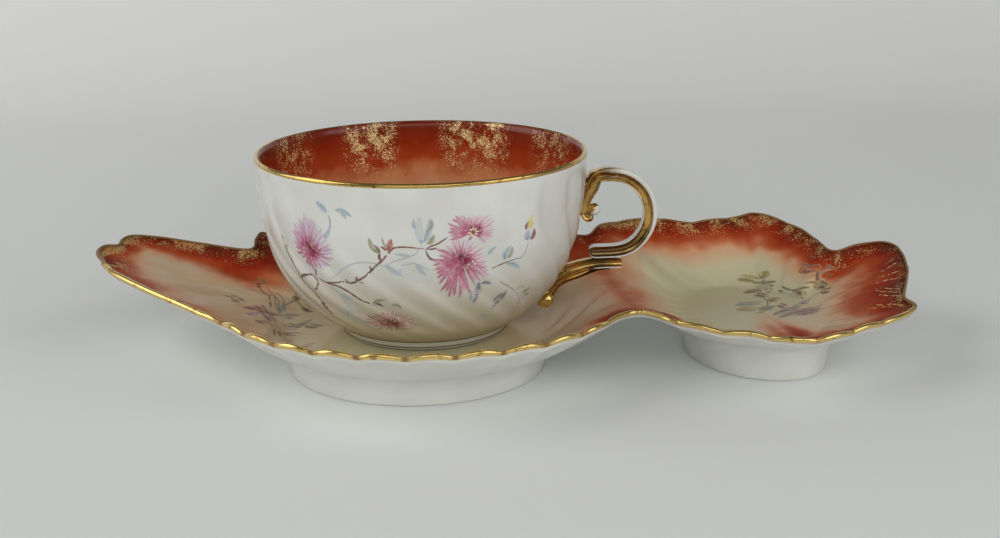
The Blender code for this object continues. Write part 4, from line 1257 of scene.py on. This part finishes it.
SCROLL_OUTER = ((0.0, 1.0), (0.22, 1.0), (0.40, 0.0), (1.0, 0.0))  # gilding of the outer border
SCROLL_INNER = ((0.0, 1.0), (0.16, 1.0), (0.26, 0.0), (1.0, 0.0))


def in_plane(x, z):
    """A point in the handle's plane."""
    return Vector((x, 0.0, z))


def along_strap(table, t):
    return np.interp(t, [row[0] for row in table], [row[1] for row in table])


def strap(name, path, depth, width, scales, channel, outer, inner):
    """A channelled strap along a path in the handle's plane.

    scales are its depth at both ends; channel is where its outer border ends, and outer and inner
    are how far the two borders are gilded, along the strap.
    """
    section = list(STRAP_SECTION) + [(d, -w, g) for d, w, g in STRAP_SECTION[-2:0:-1]]
    ends = [2 * path[0] - path[1], *path, 2 * path[-1] - path[-2]]
    line = [*smooth_line(ends, STRAP_STEPS), path[-1]]
    verts, faces, gilt = [], [], []
    count = len(section)
    for k, point in enumerate(line):
        along = (line[min(k + 1, STRAP_STEPS)] - line[max(k - 1, 0)]).normalized()
        side = in_plane(-along.z, along.x)
        t = k / STRAP_STEPS
        thin = 1 - (1 - scales[0]) * (1 - ease(t / 0.3)) - (1 - scales[1]) * ease((t - 0.5) / 0.5)
        from_end = min(k, STRAP_STEPS - k) / ROUNDED_STEPS
        rounded = math.sqrt(max(1 - (1 - from_end) ** 2, 0.06)) if from_end < 1 else 1.0
        limit = along_strap(channel, t)
        for d, w, in_channel in section:
            gilded = along_strap(outer if d > 0 else inner, t)
            if d >= CHANNEL_EDGE:
                d = limit + (d - CHANNEL_EDGE) * (1 - limit) / (1 - CHANNEL_EDGE)
            else:
                d = -1 + (d + 1) * (limit + 1) / (CHANNEL_EDGE + 1)
            out = side * (d * depth / 2 * thin) + Vector((0, w * width / 2, 0))
            verts.append(point + out * rounded)
            gilt.append(max(gilded, in_channel))
    for k in range(STRAP_STEPS):
        for n in range(count):
            after = (n + 1) % count
            low, high = k * count, (k + 1) * count
            faces.append((low + n, low + after, high + after, high + n))
    faces.append(tuple(reversed(range(count))))
    faces.append(tuple(range(STRAP_STEPS * count, (STRAP_STEPS + 1) * count)))
    mesh = bpy.data.meshes.new(name)
    mesh.from_pydata(verts, [], faces)
    turn_outwards(mesh)
    add_attribute(mesh, "gilt", gilt)
    return new_object(name, mesh)


loop = SCROLL_DROP / 2
scroll_middle = in_plane(wall_radius(SCROLL_TOP) + SCROLL_REACH - loop, SCROLL_TOP - loop)
volute = SCROLL_TOP - VOLUTE_DROP
volute_x = wall_radius(volute)
scroll_path = [in_plane(volute_x + out, volute + rise) for out, rise in VOLUTE_POINTS]
for degrees in LOOP_DEGREES:
    a = math.radians(degrees)
    scroll_path.append(scroll_middle + in_plane(loop * math.cos(a), loop * math.sin(a)))
scroll_end = wall_radius(SCROLL_TOP) + SCROLL_DEPTH * 0.25
scroll_path.append(in_plane(scroll_end, SCROLL_TOP - SCROLL_DROP))
scroll = strap(
    "scroll", scroll_path, SCROLL_DEPTH, SCROLL_WIDTH, (VOLUTE_SCALE, SCROLL_END_SCALE),
    SCROLL_CHANNEL, SCROLL_OUTER, SCROLL_INNER,
)

gilded_scroll, shader, start = new_material("gilded_scroll", Coat_Weight=0.2, Coat_Roughness=0.04)
gilt = read_attribute(start, "gilt") + (speckle(start, 500.0, 3.0) - 0.5) * 0.4
gilt = between(start, gilt, 0.15, 0.85)
worn = between(start, speckle(start, 420.0, 4.0, 0.6), 0.50, 0.72)
# painted reflection: broad dark blotches on the channel's gold stand in for the room mirrored in it
thin = between(start, speckle(start, 70.0), 0.42, 0.62)
channel_gold_reflection_and_wear = blend(start, thin, *CHANNEL_GOLD_AND_DARK_REFLECTION)
channel_gold_reflection_and_wear = blend(start, worn, channel_gold_reflection_and_wear, WORN_GOLD)
wire(
    start, shader,
    Base_Color=blend(start, gilt, white_clouds(start), channel_gold_reflection_and_wear),
    Roughness=0.13 + 0.06 * speckle(start, 140.0) + 0.12 * gilt * worn,
    Metallic=gilt * 0.92,
    Normal=dimples(start, 300.0, 0.08, 0.0004),
)
set_down(scroll, cup_place, gilded_scroll)
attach(scroll, "cup")
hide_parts("handle_scroll")

root_height = SCROLL_TOP - ROOT_DROP
root_path = [
    in_plane(wall_radius(root_height) - 0.0008, root_height - 0.0010),
    in_plane(wall_radius(root_height) + 0.0022, root_height + 0.0014),
    scroll_middle + in_plane(math.cos(1.95), math.sin(1.95)) * (loop + 0.0009),
    scroll_middle + in_plane(math.cos(1.40), math.sin(1.40)) * (loop + 0.0008),
]
root = strap(
    "root", root_path, ROOT_DEPTH, SCROLL_WIDTH, (1.15, 0.9), ((0.0, 0.9), (1.0, 0.9)),
    ((0.0, 1.0), (0.35, 1.0), (1.0, 0.0)), ((0.0, 1.0), (0.5, 1.0), (1.0, 0.2)),
)
set_down(root, cup_place, gilded_scroll)
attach(root, "cup")


# The upper pearl: a small rolled ball of clay set in the curl of the volute, gilded on the side
# towards the wall and left white on the other.

UPPER_PEARL = 0.0020


def pearl(name, radius, place, material):
    """A ball drawn out a little along the side that is luted on."""
    bpy.ops.object.select_all(action="DESELECT")
    bpy.ops.mesh.primitive_uv_sphere_add(segments=32, ring_count=20, radius=radius)
    made = bpy.context.object
    made.name = made.data.name = name
    gilt = []
    for vert in made.data.vertices:
        draw = ease((-vert.co.x / radius - 0.2) / 0.8)
        gilt.append(ease((vert.co.z * 0.9 - vert.co.x) / radius * 0.8 + 0.35))
        vert.co.x -= radius * 0.12 * draw
    add_attribute(made.data, "gilt", gilt)
    set_down(made, place, material)
    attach(made, "cup")
    return made


curl = in_plane(volute_x + 0.0044, volute + 0.0010)
upper_pearl = pearl("upper_pearl", UPPER_PEARL, cup_place + curl, gilded_scroll)
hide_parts("handle_upper_pearl")


# The handle's bracket: a gilded ledge under the scroll's free end, white along its lower border, and
# a tail that leaves it from below and runs down the wall to a gilded pearl.

LEDGE_DEPTH = 0.0032
LEDGE_LENGTH = 0.0192
TAIL_DEPTH = 0.0022
TAIL_END_SCALE = 0.72
BRACKET_WIDTH = 0.0048
ALL_GILT = ((0.0, 1.0), (1.0, 1.0))
LOWER_PEARL = 0.0026
LOWER_PEARL_HEIGHT = 0.0075

ledge = SCROLL_TOP - SCROLL_DROP - SCROLL_DEPTH * SCROLL_END_SCALE / 2 - GLAZE_GAP - LEDGE_DEPTH / 2
ledge_wall = wall_radius(ledge)
ledge_path = [
    in_plane(ledge_wall + LEDGE_LENGTH, ledge),
    in_plane(ledge_wall + LEDGE_LENGTH * 0.6, ledge + 0.0001),
    in_plane(ledge_wall + LEDGE_LENGTH * 0.28, ledge - 0.0008),
    in_plane(wall_radius(ledge - 0.0034) - 0.0006, ledge - 0.0034),
]
tail = ledge - LEDGE_DEPTH * 0.3
pearl_reach = wall_radius(LOWER_PEARL_HEIGHT) + LOWER_PEARL * 1.75
pearl_middle = in_plane(pearl_reach, LOWER_PEARL_HEIGHT)
bend = tail + (LOWER_PEARL_HEIGHT - tail) * 0.45
bend_point = in_plane(wall_radius(bend) + TAIL_DEPTH * 1.3, bend)
tail_path = [
    in_plane(ledge_wall + LEDGE_LENGTH * 0.80, tail),
    in_plane(ledge_wall + LEDGE_LENGTH * 0.55, tail - 0.0004),
    in_plane(ledge_wall + LEDGE_LENGTH * 0.30, tail - 0.0022),
    bend_point,
    pearl_middle + (bend_point - pearl_middle).normalized() * (LOWER_PEARL * 0.9),
]
ledge_strap = strap(
    "ledge", ledge_path, LEDGE_DEPTH, BRACKET_WIDTH, (0.9, 1.1), ((0.0, 0.72), (1.0, 0.85)),
    ((0.0, 0.0), (0.34, 0.0), (0.5, 1.0), (1.0, 1.0)), ALL_GILT,
)
tail_strap = strap(
    "tail", tail_path, TAIL_DEPTH, BRACKET_WIDTH * 0.9, (0.7, TAIL_END_SCALE),
    ((0.0, 0.9), (1.0, 0.9)), ALL_GILT, ALL_GILT,
)
for piece in (ledge_strap, tail_strap):
    set_down(piece, cup_place, gilded_scroll)
    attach(piece, "cup")
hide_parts("handle_bracket")

pearl_gold = fired_gold("pearl_gold", 0.12, GOLD)
lower_pearl = pearl("lower_pearl", LOWER_PEARL, cup_place + pearl_middle, pearl_gold)
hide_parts("handle_lower_pearl")


# The cup's painting: sprays of asters in thin enamel over the glaze, brushed on stroke by stroke
# and fired. Pale shadow twigs go on first, then the brown twigs, the leaves and the flowers.

TWIG_BROWN = (tint(94, 44, 40), tint(120, 64, 58))
SHADOW = (tint(170, 180, 188), tint(158, 166, 178))
LEAF_BLUE = (tint(156, 172, 184), tint(122, 138, 150))
LEAF_OLIVE = (tint(148, 148, 114), tint(98, 96, 70))
LEAF_GREY = (tint(130, 128, 140), tint(90, 86, 100))
ASTER_PINK = (tint(118, 28, 58), tint(178, 90, 122), tint(214, 182, 198))
ASTER_VIOLET = (tint(124, 28, 60), tint(176, 92, 128), tint(194, 172, 198))
ASTER_RUST = (tint(112, 44, 38), tint(156, 88, 78), tint(192, 158, 144))
STAMEN = tint(230, 218, 168)
SHADOW_TWIGS = (  # (degrees round the cup, height over its foot in mm)
    ((-123.3, 27.5), (-119.2, 30.2), (-114.9, 32.9), (-110.8, 34.0), (-106.3, 34.3), (-101.8, 33.4),
     (-97.4, 32.0)),
    ((-126.0, 24.9), (-121.9, 22.8), (-120.6, 17.7), (-119.8, 14.1), (-118.0, 10.6)),
    ((-102.1, 33.7), (-97.4, 35.3), (-92.6, 36.9), (-91.3, 37.5), (-89.4, 40.0)),
    ((-97.4, 33.2), (-92.6, 34.4), (-90.1, 33.8), (-86.4, 31.9)),
)
SHADOW_LEAVES = (  # (base, tip, width in mm)
    ((-101.8, 33.8), (-95.6, 30.2), 2.2), ((-97.6, 32.6), (-92.6, 29.6), 2.4),
    ((-94.4, 30.6), (-90.8, 28.0), 1.8), ((-121.6, 22.6), (-116.2, 20.4), 2.6),
    ((-120.4, 19.0), (-115.4, 16.2), 2.6), ((-121.0, 17.0), (-123.8, 13.2), 2.2),
    ((-119.8, 14.6), (-114.6, 11.0), 2.4), ((-91.6, 34.2), (-88.2, 30.4), 2.2),
    ((-93.0, 36.8), (-98.4, 37.4), 1.4),
)
TWIGS = (  # (places, width in mm)
    (((-130.7, 27.1), (-127.4, 26.0), (-123.8, 26.2), (-119.0, 26.9), (-115.1, 27.0), (-111.8, 28.4),
      (-108.2, 30.6), (-105.1, 33.3), (-102.6, 35.2), (-100.4, 37.4), (-98.4, 39.2), (-94.4, 39.6),
      (-90.1, 39.2), (-88.1, 38.9)), 0.75),
    (((-140.1, 24.7), (-138.6, 26.4), (-136.1, 27.0), (-133.0, 27.4), (-131.4, 25.9), (-131.7, 24.0),
      (-133.4, 22.4), (-135.6, 22.4)), 0.85),
    (((-136.4, 25.8), (-137.6, 26.6), (-139.0, 25.6)), 1.0),
    (((-144.6, 34.1), (-142.8, 31.0), (-140.8, 27.3), (-140.3, 24.5), (-136.8, 21.1), (-134.1, 16.7),
      (-132.1, 13.8)), 0.8),
    (((-137.0, 21.3), (-134.4, 17.2), (-131.7, 13.0)), 1.25),
    (((-130.4, 26.9), (-125.7, 25.7), (-120.8, 25.3), (-116.9, 23.7), (-113.0, 21.4), (-109.2, 20.0),
      (-106.6, 18.4)), 0.7),
    (((-113.2, 27.6), (-112.2, 29.6)), 0.7),
    (((-116.4, 26.9), (-117.6, 28.2)), 0.6),
    (((-106.9, 31.4), (-107.2, 33.4)), 0.5),
    (((-112.4, 28.0), (-110.2, 27.4)), 0.5),
    (((-102.8, 35.0), (-103.4, 36.4), (-103.0, 37.8)), 0.9),
    (((-88.1, 38.9), (-85.8, 39.8), (-83.8, 40.5), (-80.7, 42.4)), 0.55),
    (((-88.1, 38.9), (-86.3, 38.7), (-84.1, 39.1)), 0.6),
    (((-88.1, 38.9), (-87.6, 37.4), (-86.4, 35.8), (-83.5, 35.1)), 0.65),
    (((-65.2, 30.8), (-60.6, 32.0), (-58.4, 32.5), (-56.0, 32.9)), 0.5),
    (((-129.2, 30.2), (-130.4, 28.4), (-131.2, 27.2)), 0.6),
)
PALE_STEMS = (
    (((-58.4, 32.5), (-56.0, 32.9), (-52.3, 33.2), (-51.1, 35.8), (-50.8, 37.6)), 0.5),
    (((-61.4, 26.5), (-55.5, 23.3), (-50.2, 20.0), (-46.5, 15.4), (-46.8, 13.3), (-48.8, 11.8)), 0.55),
    (((-120.6, 48.1), (-120.1, 45.5), (-121.4, 41.8)), 0.55),
    (((-52.0, 21.4), (-49.2, 22.6), (-47.2, 21.6)), 0.5),
)
LEAVES = (  # (places, width in mm, colours)
    (((-124.8, 51.7), (-122.6, 50.2), (-120.9, 48.3)), 2.4, LEAF_BLUE),
    (((-117.9, 49.5), (-115.1, 49.6), (-111.5, 48.2)), 2.0, LEAF_BLUE),
    (((-116.0, 49.4), (-114.4, 48.2), (-113.6, 47.2)), 1.3, LEAF_BLUE),
    (((-122.6, 40.4), (-121.4, 42.2), (-120.4, 44.0)), 1.8, LEAF_BLUE),
    (((-89.0, 40.4), (-90.0, 44.6), (-89.7, 48.8)), 2.6, LEAF_BLUE),
    (((-89.6, 44.0), (-91.6, 46.2), (-91.4, 48.4)), 1.5, LEAF_BLUE),
    (((-88.4, 40.7), (-86.8, 44.8), (-86.4, 48.4)), 2.0, LEAF_BLUE),
    (((-88.0, 43.6), (-86.0, 45.8), (-85.9, 48.0)), 1.6, LEAF_OLIVE),
    (((-87.9, 40.3), (-86.4, 41.0), (-85.0, 43.3)), 1.9, LEAF_OLIVE),
    (((-59.9, 32.9), (-60.2, 35.2), (-58.6, 37.6)), 2.5, LEAF_BLUE),
    (((-59.0, 33.4), (-57.8, 35.4), (-58.0, 37.2)), 1.5, LEAF_OLIVE),
    (((-59.8, 31.9), (-56.4, 31.2), (-53.1, 29.3)), 2.0, LEAF_BLUE),
    (((-66.8, 35.4), (-65.6, 37.0), (-63.8, 37.9)), 1.6, LEAF_BLUE),
    (((-69.4, 27.2), (-69.0, 23.8), (-70.4, 19.6)), 2.8, LEAF_GREY),
    (((-68.5, 26.4), (-66.4, 26.6), (-64.2, 25.7)), 1.7, LEAF_GREY),
    (((-71.4, 24.6), (-71.8, 22.4), (-71.2, 20.4)), 1.7, LEAF_BLUE),
    (((-57.3, 22.9), (-58.2, 19.8), (-61.6, 16.2)), 2.6, LEAF_GREY),
    (((-57.5, 22.0), (-59.8, 20.8), (-61.6, 19.0)), 1.8, LEAF_GREY),
    (((-64.6, 13.3), (-63.4, 14.4), (-61.6, 14.6)), 1.5, LEAF_BLUE),
    (((-48.9, 19.4), (-46.2, 20.0), (-43.6, 21.6)), 2.0, LEAF_OLIVE),
    (((-46.8, 17.4), (-44.4, 18.6), (-42.0, 18.4)), 1.8, LEAF_OLIVE),
    (((-109.2, 20.0), (-106.0, 21.6), (-102.6, 22.2)), 1.6, LEAF_OLIVE),
    (((-108.6, 20.2), (-106.2, 20.2), (-104.6, 19.0)), 1.5, TWIG_BROWN),
    (((-103.2, 37.4), (-105.6, 39.6), (-106.4, 42.4)), 1.9, LEAF_OLIVE),
    (((-103.0, 37.2), (-103.8, 39.0), (-105.2, 40.2)), 1.3, TWIG_BROWN),
    (((-100.2, 38.6), (-101.6, 40.4), (-102.2, 42.6)), 0.8, LEAF_OLIVE),
    (((-144.0, 32.4), (-144.6, 35.4), (-146.2, 38.4)), 2.2, LEAF_OLIVE),
    (((-141.4, 30.2), (-143.0, 31.8), (-143.8, 34.0)), 1.5, LEAF_OLIVE),
    (((-97.4, 19.4), (-99.4, 20.6), (-101.4, 20.0)), 1.5, LEAF_OLIVE),
)
BUDS = (  # (places, width in mm, colours)
    (((-100.6, 38.0), (-99.8, 39.8), (-99.0, 42.2)), 2.0, (tint(150, 66, 60), tint(180, 104, 92))),
    (((-101.0, 38.2), (-102.0, 39.2), (-103.0, 39.4)), 1.0, (tint(130, 70, 62), tint(160, 110, 96))),
    (((-51.2, 38.0), (-51.8, 39.8), (-51.4, 41.6)), 2.2, (tint(140, 138, 168), tint(182, 184, 204))),
    (((-50.2, 38.0), (-49.0, 39.4), (-49.2, 41.6)), 1.7, (tint(104, 52, 58), tint(140, 90, 92))),
    (((-50.8, 41.6), (-50.9, 43.6), (-50.4, 46.2)), 2.4, (tint(206, 184, 96), tint(226, 212, 146))),
    (((-52.4, 41.4), (-52.6, 42.8), (-51.6, 44.2)), 1.1, (tint(110, 60, 58), tint(160, 130, 100))),
)
ASTERS = (  # (heart, petal tips, colours, petal width in mm)
    ((-103.2, 12.6),
     ((-115.0, 15.8), (-110.6, 17.0), (-106.4, 18.2), (-101.1, 18.6), (-96.6, 18.0), (-92.4, 15.8),
      (-89.6, 12.8), (-92.8, 11.0), (-98.4, 9.4), (-105.0, 9.0), (-111.0, 10.2), (-115.6, 12.6)),
     ASTER_RUST, 1.0),
    ((-130.9, 35.4),
     ((-138.5, 38.0), (-138.2, 41.6), (-137.0, 44.2), (-134.2, 45.6), (-130.9, 47.4), (-127.8, 46.6),
      (-125.6, 46.0), (-123.0, 44.0), (-120.9, 41.0), (-119.1, 37.6), (-119.0, 34.6), (-121.4, 31.4),
      (-125.4, 29.6), (-130.6, 29.0), (-133.9, 31.0), (-137.7, 34.1)),
     ASTER_VIOLET, 1.15),
    ((-72.5, 43.3),
     ((-81.9, 43.9), (-81.4, 46.8), (-78.8, 49.2), (-75.8, 48.7), (-72.9, 48.2), (-70.1, 48.8),
      (-66.8, 48.4), (-64.8, 46.4), (-64.2, 43.6), (-65.0, 40.8), (-67.4, 39.2), (-80.7, 41.4)),
     ASTER_PINK, 1.1),
    ((-76.8, 35.0),
     ((-84.3, 38.6), (-86.0, 35.4), (-86.3, 32.0), (-85.6, 28.6), (-82.8, 25.4), (-80.1, 22.0),
      (-76.0, 22.6), (-71.7, 23.3), (-67.9, 26.6), (-64.6, 28.2), (-65.8, 31.6), (-67.0, 35.1),
      (-68.3, 38.4), (-71.4, 40.6), (-75.4, 42.0), (-79.6, 42.2)),
     ASTER_PINK, 1.2),
)
STAMENS = (((-72.4, 43.2), 8, 2.0), ((-72.6, 33.4), 4, 1.5))  # (middle, count, reach in mm)


def lay_on_cup(degrees, height):
    """The glaze at a place round the cup, with its normal."""
    a = math.radians(degrees)
    out = Vector((math.cos(a), math.sin(a), 0.0))
    start = cup_place + out * 0.08 + Vector((0.0, 0.0, height / 1000))
    return bowl_surface.ray_cast(start, -out)[:2]


def leaf(painting, places, width, hues):
    """A leaf in three touches: a broad pale one, a darker half and a thin rib."""
    pale, dark = hues
    painting.touch(places, width, pale, pale, soft=0.65, belly=0.45)
    aside = Vector((*places[-1], 0.0)) - Vector((*places[0], 0.0))
    aside = Vector((-aside.y, aside.x)) * (0.11 * width / max(aside.length, 0.1))
    half = [(x + aside.x, y + aside.y) for x, y in places]
    painting.touch(half, width * 0.5, dark, pale, soft=0.6, belly=0.4)
    painting.touch(places, 0.22, dark, pale, soft=0.5)


def aster(painting, heart, tips, hues, width):
    """A many-petalled flower: long pale petals, shorter deep ones over them and a dark heart."""
    deep, middle, pale = hues
    heart = Vector(heart)
    tips = [Vector(tip) for tip in tips]
    petals = []
    for tip, after in zip(tips, tips[1:] + tips[:1]):
        petals += [(tip, 1.0), (tip.lerp(after, 0.5), 0.94)]
    rows = (  # (start and end along the petal, width share, colours, softness, belly)
        (0.16, 1.0, 0.90, (middle, pale, pale), 0.30, 0.66),
        (0.10, 0.80, 0.62, (deep, middle, pale), 0.45, 0.60),
        (0.25, 0.95, 0.24, (middle, middle, middle), 0.25, 0.5),
        (0.0, 0.52, 0.60, (deep, deep, middle), 0.10, 0.35),
        (0.0, 0.26, 0.75, (deep, deep, deep), 0.0, 0.4),
    )
    for first, last, share, colours, soft, belly in rows:
        for tip, reach in petals:
            reach *= chance.uniform(0.86, 1.06)
            out = (tip - heart) * reach
            shaded = 0.45 - 0.4 * (out.x + out.y) / max(out.length, 0.1) + chance.uniform(-0.2, 0.2)
            toned = [mixed(colour, middle, 0.9 * ease(shaded)) for colour in colours]
            if last > 0.9:
                toned = [mixed(colour, WHITE_GLAZE[1], 0.6 * ease(0.2 - shaded)) for colour in toned]
            bow = Vector((-out.y, out.x)) * chance.uniform(-0.07, 0.07)
            places = [heart + out * first, heart + out * (first + last) / 2 + bow, heart + out * last]
            painting.touch(places, width * share, *toned, soft=soft, belly=belly, blunt=0.55)


chance = random.Random(7)
spray = Painting(lay_on_cup, bowl_surface, WHITE_GLAZE[0])
for places in SHADOW_TWIGS:
    spray.touch(places, 0.6, SHADOW[0], SHADOW[0], soft=0.5, blunt=0.3)
for base, tip, width in SHADOW_LEAVES:
    leaf(spray, (base, tip), width, SHADOW)
for places, width in PALE_STEMS:
    spray.touch(places, width, LEAF_GREY[0], LEAF_BLUE[0], soft=0.4, blunt=0.3)
for places, width in TWIGS:
    spray.touch(places, width, *TWIG_BROWN, soft=0.3, blunt=0.3)
for places, width, hues in LEAVES:
    leaf(spray, places, width, hues)
for places, width, (dark, pale) in BUDS:
    spray.touch(places, width, dark, pale, soft=0.3, belly=0.4)
    spray.touch(places, width * 0.3, dark, dark, soft=0.2)
for heart, tips, hues, width in ASTERS:
    aster(spray, heart, tips, hues, width)
for (degrees, height), count, reach in STAMENS:
    for k in range(count):
        a = math.tau * k / count + chance.uniform(-0.2, 0.2)
        out = (reach * math.cos(a), reach * math.sin(a) * 0.8)
        places = ((degrees + out[0] * 0.3, height + out[1] * 0.3), (degrees + out[0], height + out[1]))
        spray.touch(places, 0.5, STAMEN, STAMEN, soft=0.3)
spray.finish("cup_painting", "cup")


# The table and the light: a plain pale sweep that curves up behind the set, a broad soft lamp at
# each side, one high behind the camera and a low one further back, a room that is darker on the
# camera's side, and the camera where the set was seen from.

FLOOR_COLOURS = (tint(236, 238, 235), tint(252, 253, 250))  # under the set, and further back
SWEEP_SIZE = 8.0
SWEEP_BACK = 0.95  # y of the wall behind the set
SWEEP_HEIGHT = 0.62
SWEEP_CURVE = 0.5
LAMP_AIM = (0.0, 0.0, 0.03)
LAMPS = (  # (name, place, size in metres, power in watts, seen in reflections)
    ("left", (-1.20, -0.12, 0.72), (1.1, 1.2), 8.6, True),
    ("right", (1.05, -0.60, 0.70), (1.0, 1.1), 5.6, True),
    ("above", (0.0, -1.15, 0.80), (1.3, 0.7), 4.3, True),
    ("front", (0.0, -2.20, 0.48), (1.6, 0.6), 15.0, False),
)
ROOM_LEVEL = (0.44, 0.45, 0.44, 1.0)
ROOM_CEILING = (0.24, 0.24, 0.24, 1.0)
ROOM_FRONT = (0.06, 0.06, 0.06, 1.0)
ROOM_STRENGTH = 0.45
CAMERA_PLACE = Vector((-0.01561, -0.45818, 0.15931))
CAMERA_PITCH = 0.2749
CAMERA_YAW = 0.0301
CAMERA_ROLL = -0.0103
CAMERA_LENS = 52.81

bpy.ops.object.select_all(action="DESELECT")
bpy.ops.mesh.primitive_plane_add(size=SWEEP_SIZE)
sweep = bpy.context.object
sweep.name = "sweep"
for vert in sweep.data.vertices:
    vert.select = vert.co.y > 0
    if vert.select:
        vert.co.y = SWEEP_BACK
for e in sweep.data.edges:
    e.select = all(sweep.data.vertices[k].co.y > 0 for k in e.vertices)
for face in sweep.data.polygons:
    face.select = False
bpy.ops.object.mode_set(mode="EDIT")
bpy.ops.mesh.select_mode(type="EDGE")
bpy.ops.mesh.extrude_edges_move(TRANSFORM_OT_translate={"value": (0.0, 0.0, SWEEP_HEIGHT)})
bpy.ops.object.mode_set(mode="OBJECT")
curve = sweep.modifiers.new("curve", "BEVEL")
curve.width = SWEEP_CURVE
curve.segments = 24
bpy.ops.object.modifier_apply(modifier="curve")
sweep.data.shade_smooth()
paper, shader, start = new_material("paper", Roughness=0.9)
further = between(start, coordinate(start, 1), 0.1, 0.6)
wire(start, shader, Base_Color=blend(start, further, *FLOOR_COLOURS))
sweep.data.materials.append(paper)

for name, place, size, power, reflected in LAMPS:
    light = bpy.data.lights.new(name, "AREA")
    light.shape = "RECTANGLE"
    light.size, light.size_y = size
    light.energy = power
    lamp = new_object(name, light)
    lamp.location = place
    lamp.rotation_mode = "QUATERNION"
    lamp.rotation_quaternion = (Vector(LAMP_AIM) - lamp.location).to_track_quat("-Z", "Y")
    lamp.visible_glossy = reflected

world = bpy.data.worlds.new("room")
world.use_nodes = True
start = Shade(world.node_tree)
sky = blend(start, between(start, coordinate(start, 2, 0), -0.1, 0.8), ROOM_LEVEL, ROOM_CEILING)
sky = blend(start, between(start, coordinate(start, 1, 0), -0.7, 0.1), ROOM_FRONT, sky)
background = world.node_tree.nodes["Background"]
world.node_tree.links.new(sky.socket, background.inputs["Color"])
background.inputs["Strength"].default_value = ROOM_STRENGTH
bpy.context.scene.world = world

camera_data = bpy.data.cameras.new("camera")
camera_data.lens = CAMERA_LENS
camera_data.sensor_width = 36.0
camera = new_object("camera", camera_data)
right = Vector((math.cos(CAMERA_YAW), -math.sin(CAMERA_YAW), 0.0))
ahead = Vector((
    math.sin(CAMERA_YAW) * math.cos(CAMERA_PITCH),
    math.cos(CAMERA_YAW) * math.cos(CAMERA_PITCH),
    -math.sin(CAMERA_PITCH),
))
up = right.cross(ahead)
across = right * math.cos(CAMERA_ROLL) + up * math.sin(CAMERA_ROLL)
upright = up * math.cos(CAMERA_ROLL) - right * math.sin(CAMERA_ROLL)
turned = Matrix((across, upright, -ahead)).transposed().to_4x4()
camera.matrix_world = Matrix.Translation(CAMERA_PLACE) @ turned
bpy.context.scene.camera = camera
bpy.context.scene.view_settings.view_transform = "Standard"
